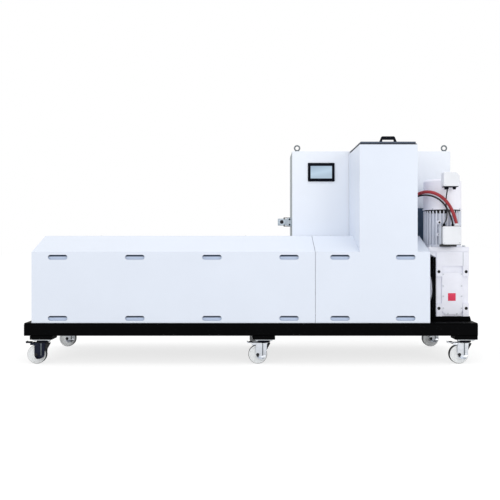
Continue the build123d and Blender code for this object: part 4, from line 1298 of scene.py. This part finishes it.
@dataclass
class Cabinet:
    """The electrical cabinet with its operator panel, lifting eyes and side connector.

    Sizes are in millimetres.

    Args:
        edge: bend radius of the sheet edges.
        door_edge: bend radius of the doors' edges and the operator panel's frame.
        connector_edge: rounding of the side connector.
        eye_ring: middle radius of a lifting eye's ring.
        eye_wire: radius of the ring's section.
        eye_inset: distance of an eye's middle from the outer end of the pair.
        eye_collar: the collar under an eye.
        plug_depth: distance of the plug's middle from the connector's back.
        lever_face: distance of a lever arm from the plug's middle height.
        lever_arm: an arm, from the connector's right end.
        lever_pin: the pin in an arm.
        pin_place: the upper pin, from the connector's right end.
        lever_grip: the grip, from the connector's right end.
        insert: the dark socket insert.
        insert_place: the insert's place, from the connector's lowest corner.
        side_sheet: how far a side panel's corners stand off the cabinet's corners.
        duct_trough: the dark duct's trough, painted shade behind the motor, from the cabinet's front.
        duct_cover: its cover, from the cabinet's front.
        handle_side: distance of a door handle from the doors' meeting line.
        handle_dish: a handle's dish, from the door's face.
        handle_grip: its grip, from the door's face.
        handle_lock: its lock.
        lock_place: the lock's place, from the handle's middle.
        hinge_barrel: a door hinge.
        hinge_inset: distance of a hinge from the door's edge.
        hinge_out: distance of a hinge from the door's face.
        hinge_rises: foot of the lowest hinge over the doors' foot, of the middle one from the doors'
            middle, and of the highest from the doors' top.
    """

    edge: float = 2.0
    door_edge: float = 1.2
    connector_edge: float = 1.5
    eye_ring: float = 18.5
    eye_wire: float = 5.5
    eye_inset: float = 24.0
    eye_collar: Turned = Turned(((15.0, 0.0), (15.0, 5.0), (13.5, 7.0), (8.0, 9.5), (6.0, 13.0)))
    plug_depth: float = 26.0
    lever_face: float = 32.0
    lever_arm: Block = Block((-60.0, -20.0, -2.0), (-12.0, -12.0, 2.0), 1.2)
    lever_pin: Turned = Turned(((6.0, 0.0), (6.0, 3.0), (4.5, 4.5)), 20)
    pin_place: Place = (-18.0, -26.0, 20.0)
    lever_grip: Block = Block((-62.0, -22.0, -34.0), (-54.0, -14.0, 34.0), 2.0)
    insert: Turned = Turned(((13.8, 0.0), (13.8, 2.0), (12.5, 3.0)), 28)
    insert_place: tuple[float, float] = (28.0, 5.0)
    side_sheet: Block = Block((-1.5, 5.0, 20.0), (1.5, -8.0, -6.0), 1.0)
    duct_trough: Block = Block((1206.0, -38.0, 780.0), (1272.0, 0.0, 1058.0), 2.0)
    duct_cover: Block = Block((1204.0, -42.0, 782.0), (1274.0, -30.0, 1056.0), 2.5, 3)
    handle_side: float = 45.0
    handle_dish: Block = Block((-14.0, -1.0, -75.0), (14.0, 4.0, 75.0), 3.0)
    handle_grip: Block = Block((-8.0, 3.0, -60.0), (8.0, 8.0, 40.0), 2.5)
    handle_lock: Turned = Turned(((9.0, 0.0), (9.0, 3.0), (7.0, 4.5), (3.0, 4.5), (2.6, 2.5)))
    lock_place: tuple[float, float] = (3.0, 58.0)
    hinge_barrel: Turned = Turned(((5.0, 0.0), (6.0, 1.0), (6.0, 29.0), (5.4, 30.0), (6.0, 31.0),
                                   (6.0, 59.0), (5.0, 60.0)), 20)
    hinge_inset: float = 9.0
    hinge_out: float = 2.0
    hinge_rises: Place = (120.0, -30.0, -180.0)

    def eyes(self) -> None:
        """Forged lifting eyes on collars."""
        low, high = Bench.corners("lifting_eyes")
        y = (low.y + high.y) / 2
        rings = []
        for x in (low.x + self.eye_inset, high.x - self.eye_inset):
            rings.append(Bench.turn(self.eye_collar.make("eye_collar"), (x, y, low.z)))
            Bench.clear()
            bpy.ops.mesh.primitive_torus_add(
                major_radius=self.eye_ring * MM, minor_radius=self.eye_wire * MM, major_segments=40,
                minor_segments=14, location=(x * MM, y * MM, (high.z - self.eye_ring - self.eye_wire) * MM),
                rotation=(math.pi / 2, 0.0, 0.0))
            ring = bpy.context.object
            Bench.seat(ring)
            Bench.smooth(ring, Bench.ROUND_ANGLE)
            rings.append(ring)
        Bench.keep(Bench.join("lifting_eye_rings", rings), EYE_STEEL_AND_GROOVE_SHADE, nodes=["lifting_eyes"])

    def connector(self) -> None:
        """Dress the side connector and add its locking lever, pins and dark insert."""
        Bench.dress("side_connector", CONNECTOR_GREY, self.connector_edge, FINE_STEPS)
        low, high = Bench.corners("side_connector")
        x, y, z = high.x, high.y - self.plug_depth, (low.z + high.z) / 2
        pin_x, pin_y, pin_z = self.pin_place
        lever = []
        for side in (-1, 1):
            at = (x, y, z + side * self.lever_face)
            lever.append(self.lever_arm.make("lever_arm", at))
            pin = self.lever_pin.make("lever_pin")
            lever.append(Bench.turn(pin, (x + pin_x, y + pin_y, z + side * pin_z), FRONT))
        lever.append(self.lever_grip.make("lever_grip", (x, y, z)))
        Bench.keep(Bench.join("connector_lever", lever), BLACK_PLASTIC)
        insert = self.insert.make("socket_insert")
        along, across = self.insert_place
        Bench.keep(Bench.turn(insert, (low.x + along, low.y + across, z), FRONT), DARK_PARTS_AND_SHADE)

    def sides(self) -> None:
        """Grey removable panels on the cabinet's two sides."""
        low, high = Bench.corners("cabinet_body")
        first, last = self.side_sheet.low, self.side_sheet.high
        sheets = [Block((x + first[0], low.y + first[1], low.z + first[2]),
                        (x + last[0], high.y + last[1], high.z + last[2]),
                        self.side_sheet.edge).make("side_sheet") for x in (low.x, high.x)]
        Bench.keep(Bench.join("cabinet_side_panels", sheets), SIDE_GREY)

    def duct(self) -> None:
        """A dark slate duct up the cabinet's front, behind the motor, standing in as painted shade for the
        shade between the tower and the motor.
        """
        at = (0.0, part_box("cabinet_body")[0][1] / MM, 0.0)
        trough = self.duct_trough.make("duct_trough", at)
        cover = self.duct_cover.make("duct_cover", at)
        Bench.keep(Bench.join("shade_duct", [trough, cover]), DUCT_PAINTED_SHADE)

    def doors(self) -> None:
        """Swing handles and hinge barrels on the rear doors."""
        low, high = Bench.corners("cabinet_doors")
        middle = (low.z + high.z) / 2
        out, rise = self.lock_place
        parts = []
        for side in (-1, 1):
            at = ((low.x + high.x) / 2 + side * self.handle_side, high.y, middle)
            parts.append(self.handle_dish.make("handle_dish", at))
            parts.append(self.handle_grip.make("handle_grip", at))
            lock = self.handle_lock.make("handle_lock")
            parts.append(Bench.turn(lock, (at[0], high.y + out, middle + rise), BACK))
        Bench.keep(Bench.join("door_handles", parts), BLACK_PLASTIC)
        rises = [start + rise for start, rise in zip((low.z, middle, high.z), self.hinge_rises)]
        spots = [((x, high.y + self.hinge_out, z), UP)
                 for x in (low.x + self.hinge_inset, high.x - self.hinge_inset) for z in rises]
        Bench.spread(self.hinge_barrel, "door_hinges", spots, BLACK_PLASTIC)

    def build(self) -> None:
        """Dress the cabinet and add what is fixed to it."""
        Bench.dress("cabinet_body", CABINET_LIT_WHITE, self.edge, FINE_STEPS)
        Bench.dress("cabinet_doors", CABINET_LIT_WHITE, self.door_edge)
        Bench.dress("hmi_bezel", BLACK_PLASTIC, self.door_edge)
        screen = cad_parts["hmi_screen"]
        low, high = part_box("hmi_screen")
        display = ScreenFinish().material(tuple(low), tuple(high))
        for place in screen.material_slots:
            place.material = display
        self.eyes()
        self.connector()
        self.sides()
        self.duct()
        self.doors()


@dataclass
class Gearbox:
    """The gearbox casting with its cover and bolts, with sizes in millimetres.

    Args:
        housing_edge: rounding of the housing.
        cover_edge: rounding of the cover.
        cover_screw: the cover's screws.
        cover_rows: heights of the screws up the sides, as shares of the cover's height.
        cover_inset: distance of the screws from the cover's edge.
        foot_inset: distance of the two lower screws from the cover's sides.
        pad_bolt: the dark bolts sunk in the corner pads.
        pad_bolt_depth: how deep they are sunk.
        pad_xs: places of the pads along the machine.
        pad_rows: heights of the pads' holes.
        marker: side of the plain red plate.
        marker_place: its lower left corner.
        marker_thickness: its thickness.
        marker_edge: rounding of its edges.
        head_lip: the lip over the head.
        seam_runs: face, foot and top of each run of the casting's seam.
        seam: corners of the seam's section across and in depth.
        seam_edge: rounding of its edges.
        flange_foot: middle of the screw flange's foot.
        flange: the screw flange.
        flange_bolt: its bolts.
        flange_bolts: how many bolts it has.
        flange_bolt_radius: distance of these bolts from its axis.
        flange_bolt_rise: distance of the bolts' seat from its foot.
    """

    housing_edge: float = 3.0
    cover_edge: float = 2.0
    cover_screw: Screw = Screw(Head.SOCKET, 10.0, 5.0)
    cover_rows: Sequence[float] = (0.16, 0.44, 0.68, 0.96)
    cover_inset: float = 9.0
    foot_inset: float = 40.0
    pad_bolt: Screw = Screw(Head.SOCKET, 21.0, 6.0)
    pad_bolt_depth: float = 9.0
    pad_xs: tuple[float, float] = (1274.5, 1459.5)
    pad_rows: tuple[float, float] = (360.0, 609.0)
    marker: float = 52.0
    marker_place: tuple[float, float] = (1337.0, 411.0)
    marker_thickness: float = 1.4
    marker_edge: float = 0.5
    head_lip: Block = Block((1205.0, -291.0, 746.0), (1477.0, -283.0, 776.0), 5.0, 4)
    seam_runs: Sequence[Place] = ((GEARBOX_FRONT, 646.0, 742.0), (-271.0, 392.0, 578.0))
    seam: Profile = ((-1.4, -1.0), (1.4, 0.5))
    seam_edge: float = 0.4
    flange_foot: Place = (1222.0, -145.0, 490.0)
    flange: Turned = Turned(((30.0, 0.0), (44.0, 0.0), (46.0, 2.0), (46.0, 6.0), (102.0, 7.0),
                             (104.0, 9.0), (104.0, 17.0)), 64)
    flange_bolt: Screw = Screw(Head.HEX, 17.0, 9.0)
    flange_bolts: int = 8
    flange_bolt_radius: float = 84.0
    flange_bolt_rise: float = 7.5

    def build(self) -> None:
        """Dress the castings and add their bolts, the red plate and the lip."""
        Bench.dress("gearbox_housing", DRIVE_CAST, self.housing_edge, FINE_STEPS)
        Bench.dress("gearbox_cover", DRIVE_CAST, self.cover_edge, FINE_STEPS)
        low, high = Bench.corners("gearbox_cover")
        inset = self.cover_inset
        rows = [low.z + share * (high.z - low.z) for share in self.cover_rows]
        spots = [((x, low.y, z), FRONT) for x in (low.x + inset, high.x - inset) for z in rows]
        spots += [((x, low.y, low.z + inset), FRONT)
                  for x in (low.x + self.foot_inset, high.x - self.foot_inset)]
        Bench.spread(self.cover_screw, "cover_screws", spots, ZINC_STEEL)
        seat = GEARBOX_FRONT + self.pad_bolt_depth
        pads = [((x, seat, z), FRONT) for x in self.pad_xs for z in self.pad_rows]
        Bench.spread(self.pad_bolt, "pad_bolts", pads, DARK_PARTS_AND_SHADE)
        x, z = self.marker_place
        plate = Block((x, low.y - self.marker_thickness, z), (x + self.marker, low.y, z + self.marker),
                      self.marker_edge)
        Bench.keep(plate.make("red_plate"), MARKER_RED)
        Bench.keep(self.head_lip.make("gearbox_head_lip"), DRIVE_CAST)
        self.casting_seam(high.x)
        self.screw_flange()

    def casting_seam(self, x: float) -> None:
        """The seam beside the right column, over the head and between the corner pads.

        Args:
            x: the column's inner edge in millimetres.
        """
        (left, proud), (right, sunk) = self.seam
        strips = []
        for face, foot, top in self.seam_runs:
            strip = Block((left, proud, foot), (right, sunk, top), self.seam_edge)
            strips.append(strip.make("seam_strip", (x, face, 0.0)))
        Bench.keep(Bench.join("gearbox_seam", strips), SIDE_GREY)

    def screw_flange(self) -> None:
        """The bolted flange on the screw's line, seen in the gap beside the hood."""
        x, y, z = self.flange_foot
        disc = Bench.turn(self.flange.make("screw_flange"), self.flange_foot, RIGHT)
        Bench.keep(disc, DRIVE_CAST)
        spots = []
        for number in range(self.flange_bolts):
            angle = 2.0 * math.pi * (number + 0.5) / self.flange_bolts
            spots.append(((x + self.flange_bolt_rise, y + self.flange_bolt_radius * math.cos(angle),
                           z + self.flange_bolt_radius * math.sin(angle)), LEFT))
        Bench.spread(self.flange_bolt, "screw_flange_bolts", spots, ZINC_STEEL)


@dataclass
class Motor:
    """The upright motor with its terminal box, blower cowl and blower box, with sizes in millimetres.

    Args:
        flange_seat: height of the motor flange's bolt seats.
        bolt_circle: diameter of the flange's bolt circle.
        flange_bolt: the flange's bolts.
        cowl_radius: radius of the cowl at its screws.
        cowl_screw: the cowl's screws.
        cowl_screw_height: height of the cowl's screws.
        cowl_lip_shade: a dark ring under the cowl's lip, painted shade between the fins' tops, with heights
            from the cowl's lip.
        inner_disc: the dark disc seen through the cowl's top.
        lug: a cast lug, from its middle height.
        lug_rows: heights of the lugs' middles.
        lug_bolt: the bolt in a lug.
        box_screw: the terminal box's screws.
        box_inset: distance of the terminal box's screws from its edges.
        seal_proud: how far the terminal box's seal stands out.
        seal_depths: front and back of the seal behind the box's face.
        saddle: the black saddle under the box, painted shade for the shadow below it, from the box's lowest
            corner.
        saddle_short: how much shorter than the box the saddle is at its right.
        plug: the blank plug in the box's side.
        plug_place: the plug's distance behind the box's face and below its top.
        blower_edge: rounding of the blower box.
        blower_screw: the blower box's screws.
        blower_inset: distance of the blower box's screws from its edges.
        blower_notch: the same for the screw at its upper right.
    """

    flange_seat: float = 777.0
    bolt_circle: float = 320.0
    flange_bolt: Screw = Screw(Head.HEX, 19.0, 11.0)
    cowl_radius: float = 132.0
    cowl_screw: Screw = Screw(Head.PAN, 9.0, 3.0)
    cowl_screw_height: float = 1037.0
    cowl_lip_shade: Turned = Turned(((112.0, -26.0), (121.5, -16.0), (121.5, 1.0)), 64)
    inner_disc: Turned = Turned(((30.0, 1222.0), (122.0, 1222.0), (122.0, 1224.0), (30.0, 1224.0)), 40)
    lug: Block = Block((1268.0, -272.0, -13.0), (1294.0, -246.0, 13.0), 4.0, 3)
    lug_rows: tuple[float, float] = (862.0, 944.0)
    lug_bolt: Screw = Screw(Head.SOCKET, 13.0, 4.0)
    box_screw: Screw = Screw(Head.SOCKET, 9.0, 2.5)
    box_inset: float = 13.0
    seal_proud: float = 0.9
    seal_depths: tuple[float, float] = (20.0, 23.0)
    saddle: Block = Block((-5.0, 14.0, -13.0), (0.0, 62.0, 2.0), 3.0)
    saddle_short: float = 28.0
    plug: Turned = Turned(((11.0, 0.0), (11.0, 4.0), (9.5, 5.0), (9.5, 8.0), (8.0, 9.5)), 24)
    plug_place: tuple[float, float] = (55.0, 37.0)
    blower_edge: float = 3.0
    blower_screw: Screw = Screw(Head.SOCKET, 7.0, 2.0)
    blower_inset: float = 10.0
    blower_notch: tuple[float, float] = (30.0, 12.0)

    def round_spots(self, radius: float, z: float, outward: bool) -> list[Spot]:
        """Four places round the motor axis, on the diagonals.

        Args:
            radius: distance from the axis in millimetres.
            z: height.
            outward: True where they point away from the axis, False where they point up.

        Returns:
            Place and direction of each.
        """
        spots = []
        for degrees in (45.0, 135.0, 225.0, 315.0):
            angle = math.radians(degrees)
            away = (math.cos(angle), math.sin(angle), 0.0)
            place = (MOTOR_AXIS[0] + away[0] * radius, MOTOR_AXIS[1] + away[1] * radius, z)
            spots.append((place, away if outward else UP))
        return spots

    def on_axis(self, name: str, shape: Turned, z: float) -> None:
        """A dark turned piece on the motor axis.

        Args:
            name: the piece's name.
            shape: the piece.
            z: the height that its own heights start from, in millimetres.
        """
        Bench.keep(Bench.turn(shape.make(name), (*MOTOR_AXIS, z)), DARK_PARTS_AND_SHADE)

    def lugs(self) -> None:
        """Two cast lugs beside the terminal box, each with a dark bolt."""
        lugs = [self.lug.make("cast_lug", (0.0, 0.0, z)) for z in self.lug_rows]
        Bench.keep(Bench.join("motor_lugs", lugs), DRIVE_CAST)
        middle = (self.lug.low[0] + self.lug.high[0]) / 2
        spots = [((middle, self.lug.low[1], z), FRONT) for z in self.lug_rows]
        Bench.spread(self.lug_bolt, "lug_bolts", spots, DARK_PARTS_AND_SHADE)

    def terminal_box(self) -> None:
        """The terminal box's screws, seal, saddle and blank plug."""
        low, high = Bench.corners("motor_terminal_box")
        inset = self.box_inset
        spots = [((x, low.y, z), FRONT) for x in (low.x + inset, high.x - inset)
                 for z in (low.z + inset, high.z - inset)]
        Bench.spread(self.box_screw, "terminal_box_screws", spots, ZINC_STEEL)
        proud = self.seal_proud
        front, back = [low.y + depth for depth in self.seal_depths]
        seal = Block((low.x - proud, front, low.z - proud), (high.x + proud, back, high.z + proud))
        Bench.keep(seal.make("terminal_box_seal"), GASKET_RUBBER)
        # The black saddle stands in as painted shade for the shadow under the terminal box.
        _, behind, top = self.saddle.high
        saddle = replace(self.saddle, high=(high.x - low.x - self.saddle_short, behind, top))
        Bench.keep(saddle.make("terminal_box_shade_saddle", tuple(low)), GASKET_RUBBER)
        behind, below = self.plug_place
        plug = self.plug.make("blank_plug")
        Bench.keep(Bench.turn(plug, (high.x, low.y + behind, high.z - below), RIGHT), BLACK_PLASTIC)

    def blower_box(self) -> None:
        """The blower box's screws."""
        low, high = Bench.corners("blower_box")
        inset = self.blower_inset
        notch_x, notch_z = self.blower_notch
        corners = ((low.x + inset, low.z + inset), (high.x - inset, low.z + inset),
                   (low.x + inset, high.z - inset), (high.x - notch_x, high.z - notch_z))
        spots = [((x, low.y, z), FRONT) for x, z in corners]
        Bench.spread(self.blower_screw, "blower_box_screws", spots, ZINC_STEEL)

    def build(self) -> None:
        """Dress the drive and add its painted-shade ring under the cowl, bolts, lugs, screws and plug."""
        # The finned motor's finish carries painted shade between its fins.
        Bench.dress("motor_body", FINNED_CAST)
        # A dark ring under the cowl's lip, painted shade between the fins' tops.
        self.on_axis("cowl_lip_shade_ring", self.cowl_lip_shade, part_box("fan_cowl")[0][2] / MM)
        self.lugs()
        Bench.dress("fan_cowl", COWL_LIT_PAINT)
        Bench.dress("motor_terminal_box", BOX_PAINT)
        Bench.dress("blower_box", BOX_PAINT, self.blower_edge, FINE_STEPS)
        flange = self.round_spots(self.bolt_circle / 2, self.flange_seat, False)
        Bench.spread(self.flange_bolt, "flange_bolts", flange, ZINC_STEEL)
        cowl = self.round_spots(self.cowl_radius, self.cowl_screw_height, True)
        Bench.spread(self.cowl_screw, "cowl_screws", cowl, ZINC_STEEL)
        self.terminal_box()
        self.blower_box()
        self.on_axis("cowl_shadow", self.inner_disc, 0.0)


@dataclass
class Glands:
    """Cable glands: a hexagon foot and a domed nut, larger for the conduit.

    Sizes are in millimetres. Outlines are shares of a gland's radius and length.

    Args:
        foot: the hexagon foot.
        nut: the domed nut.
        wall_length: length of a gland on the cabinet's wall.
        box_length: length of a gland on a terminal box.
        thin_limit: diameter up to which a cable counts as thin.
        thin_share: radius of a thin cable's gland over the cable's diameter.
        thick_share: the same for a thick cable.
        spare_size: radius and length of the blower box's spare glands.
        spare_insets: distances of these from the box's sides.
        spare_sink: how deep they sit below the box.
        plate: how far the gland plate's corners stand off the blower box's foot.
    """

    foot: Turned = Turned(((1.12, 0.0), (1.12, 0.38), (1.04, 0.44)), 6)
    nut: Turned = Turned(((0.95, 0.3), (1.0, 0.5), (1.0, 0.72), (0.86, 0.92), (0.7, 1.0)), 24)
    wall_length: float = 30.0
    box_length: float = 18.0
    thin_limit: float = 10.0
    thin_share: float = 1.1
    thick_share: float = 0.65
    spare_size: tuple[float, float] = (11.0, 17.0)
    spare_insets: tuple[float, float] = (24.0, 26.0)
    spare_sink: float = 3.0
    plate: Block = Block((3.0, 6.0, -5.0), (-6.0, -6.0, 0.0), 2.0)

    def one(self, radius: float, length: float) -> bpy.types.Object:
        """One gland standing on the origin.

        Args:
            radius: radius of the nut in millimetres.
            length: how far it stands out.

        Returns:
            The joined gland.
        """
        foot = self.foot.scaled(radius, length).make("gland_foot")
        nut = self.nut.scaled(radius, length).make("gland_nut")
        return Bench.join("gland", [foot, nut])

    def at_end(self, cable: Cable, end: int, along: Place) -> bpy.types.Object:
        """A gland that holds one end of a cable.

        Args:
            cable: the cable.
            end: 0 for its first point, -1 for its last.
            along: the way the gland points.

        Returns:
            The gland, in place.
        """
        length = self.wall_length if along == FRONT else self.box_length
        share = self.thick_share if cable.diameter > self.thin_limit else self.thin_share
        foot = Vector(cable.route[end]) - Vector(along) * length
        return Bench.turn(self.one(cable.diameter * share, length), tuple(foot), along)

    def build(self) -> None:
        """Set a gland at each end of the cables and a black plate under the blower box."""
        black = []
        for cable, end, along in ((CONDUIT, 0, FRONT), (MOTOR_CABLE, 0, FRONT), (MOTOR_CABLE, -1, UP),
                                  (BLOWER_CABLE, -1, UP), (BLOWER_CABLE, 0, DOWN)):
            black.append(self.at_end(cable, end, along))
        low, high = Bench.corners("blower_box")
        middle = (low.y + high.y) / 2
        left, right = self.spare_insets
        for x in (low.x + left, high.x - right):
            black.append(Bench.turn(self.one(*self.spare_size), (x, middle, low.z - self.spare_sink), DOWN))
        first, last = self.plate.low, self.plate.high
        plate = Block((low.x + first[0], low.y + first[1], low.z + first[2]),
                      (high.x + last[0], high.y + last[1], low.z + last[2]), self.plate.edge)
        black.append(plate.make("gland_plate"))
        Bench.keep(Bench.join("cable_gland_nuts", black), BLACK_PLASTIC, nodes=["cable_glands"])
        fitting = self.at_end(CONDUIT, -1, UP)
        fitting.name = "conduit_end_fitting"
        Bench.keep(fitting, BOX_PAINT)


@dataclass
class BarrelLine:
    """The barrel, the screw and what carries them."""

    def build(self) -> None:
        """Dress the steel pieces."""
        for node in ("barrel", "screw", "feed_block"):
            Bench.dress(node, BARE_STEEL)
        Bench.dress("barrel_supports", BLACK_FRAME)


@dataclass(frozen=True)
class Lamp:
    """One soft lamp.

    Args:
        name: the lamp's name.
        place: where it stands, in metres.
        aim: what it points at.
        size: its width and height.
        power: its power in watts.
    """

    name: str
    place: Place
    aim: Place
    size: tuple[float, float]
    power: float

    def build(self) -> None:
        """Hang the lamp."""
        data = bpy.data.lights.new(self.name, "AREA")
        data.shape = "RECTANGLE"
        data.size, data.size_y = self.size
        data.energy = self.power
        lamp = bpy.data.objects.new(self.name, data)
        lamp.location = self.place
        lamp.rotation_euler = (Vector(self.aim) - Vector(self.place)).to_track_quat("-Z", "Y").to_euler()
        bpy.context.collection.objects.link(lamp)


@dataclass
class Studio:
    """Camera, lamps, floor and background.

    Args:
        eye: the camera's place in metres.
        lens: focal length in millimetres.
        sensor: width of the camera's sensor in millimetres.
        shift: offset of the picture from the optical axis, in picture widths.
        sky: strength of the light from all round.
        floor_size: side of the floor in metres.
        floor_drop: how far the floor lies below the wheels.
        floor_tone: the floor's grey to all rays but the camera's.
        floor_seen: its grey to the camera.
        floor_glow: the light it adds to the camera's view.
        lamps: the lamps.
    """

    eye: Place = (0.040, -4.600, 0.824)
    lens: float = 45.8
    sensor: float = 36.0
    shift: tuple[float, float] = (-0.014, -0.020)
    sky: float = 0.76
    floor_size: float = 60.0
    floor_drop: float = 0.0005
    floor_tone: float = 0.9
    floor_seen: float = 0.34
    floor_glow: float = 0.76
    lamps: Sequence[Lamp] = (
        Lamp("overhead", (0.0, -0.8, 4.2), (0.0, 0.0, 0.6), (5.0, 2.5), 38.0),
        Lamp("front_left", (-3.0, -5.0, 2.6), (0.0, 0.0, 0.7), (3.0, 2.5), 34.0),
        Lamp("front_right", (3.4, -4.9, 2.3), (1.0, 0.0, 0.8), (3.0, 2.5), 46.0),
    )

    def camera(self) -> None:
        """Stand the camera where the photograph was taken."""
        data = bpy.data.cameras.new("camera")
        data.lens = self.lens
        data.sensor_width = self.sensor
        data.shift_x, data.shift_y = self.shift
        camera = bpy.data.objects.new("camera", data)
        camera.location = self.eye
        camera.rotation_euler = (math.pi / 2, 0.0, 0.0)
        bpy.context.collection.objects.link(camera)
        bpy.context.scene.camera = camera

    def background(self) -> None:
        """A white surround for the camera and for reflections, softer as light."""
        world = bpy.data.worlds.new("studio")
        bpy.context.scene.world = world
        world.use_nodes = True
        tree = world.node_tree
        shader = tree.nodes["Background"]
        Groups.fill(shader, {"Color": (1.0, 1.0, 1.0, 1.0)})
        rays = Groups.node(tree, "LightPath")
        seen = Groups.node(tree, "Math", operation="MAXIMUM")
        clear = Groups.node(tree, "Math", operation="MAXIMUM")
        level = Groups.node(tree, "MapRange", {"To Min": self.sky, "To Max": 1.0})
        tree.links.new(rays.outputs["Is Camera Ray"], seen.inputs[0])
        tree.links.new(rays.outputs["Is Glossy Ray"], seen.inputs[1])
        tree.links.new(seen.outputs[0], clear.inputs[0])
        tree.links.new(rays.outputs["Is Transmission Ray"], clear.inputs[1])
        tree.links.new(clear.outputs[0], level.inputs["Value"])
        tree.links.new(level.outputs["Result"], shader.inputs["Strength"])

    def floor(self) -> None:
        """A plain white floor that keeps a soft shadow."""
        Bench.clear()
        bpy.ops.mesh.primitive_plane_add(size=self.floor_size, location=(0.0, 0.0, -self.floor_drop))
        floor = bpy.context.object
        floor.name = "studio_floor"
        material = bpy.data.materials.new("white_floor")
        material.use_nodes = True
        tree = material.node_tree
        shader = tree.nodes["Principled BSDF"]
        Groups.fill(shader, {"Roughness": 0.9, "Specular IOR Level": 0.0,
                             "Emission Color": (1.0, 1.0, 1.0, 1.0)})
        rays = Groups.node(tree, "LightPath")
        greys = {"A": (*[self.floor_tone] * 3, 1.0), "B": (*[self.floor_seen] * 3, 1.0)}
        tone = Groups.node(tree, "Mix", greys, data_type="RGBA")
        lift = Groups.node(tree, "Math", {1: self.floor_glow}, operation="MULTIPLY")
        tree.links.new(rays.outputs["Is Camera Ray"], tone.inputs["Factor"])
        tree.links.new(tone.outputs["Result"], shader.inputs["Base Color"])
        tree.links.new(rays.outputs["Is Camera Ray"], lift.inputs[0])
        tree.links.new(lift.outputs[0], shader.inputs["Emission Strength"])
        floor.data.materials.append(material)

    def build(self) -> None:
        """Set up background, floor and lamps."""
        bpy.context.scene.view_settings.view_transform = "Standard"
        self.background()
        self.floor()
        for lamp in self.lamps:
            lamp.build()


def swivel_axes() -> list[tuple[float, float]]:
    """Read the castors' swivel axes from the frame, in millimetres."""
    swivels = []
    for number in range(1, 7):
        low, high = Bench.corners(f"castor_wheel_{number}")
        swivels.append(((low.x + high.x) / 2 + Castor.trail, (low.y + high.y) / 2))
    return swivels


def main() -> None:
    """Build the extruder's looks, from the camera and the cables on."""
    logging.basicConfig(level=logging.INFO, format="%(message)s")
    studio = Studio()
    studio.camera()
    for cable in (CONDUIT, MOTOR_CABLE, BLOWER_CABLE):
        cable.build()
    swivels = swivel_axes()
    BaseFrame().build(swivels)
    # The front left castor's fork and pedal get the darkened zinc as painted shade.
    for number, swivel in enumerate(swivels, start=1):
        Castor(number, swivel, FORK_PAINTED_SHADE if number == 1 else FORK_ZINC).build()
    for assembly in (Hood(), Tower(), Cabinet(), Gearbox(), Motor(), Glands(), BarrelLine(), studio):
        assembly.build()


if __name__ == "__main__":
    main()
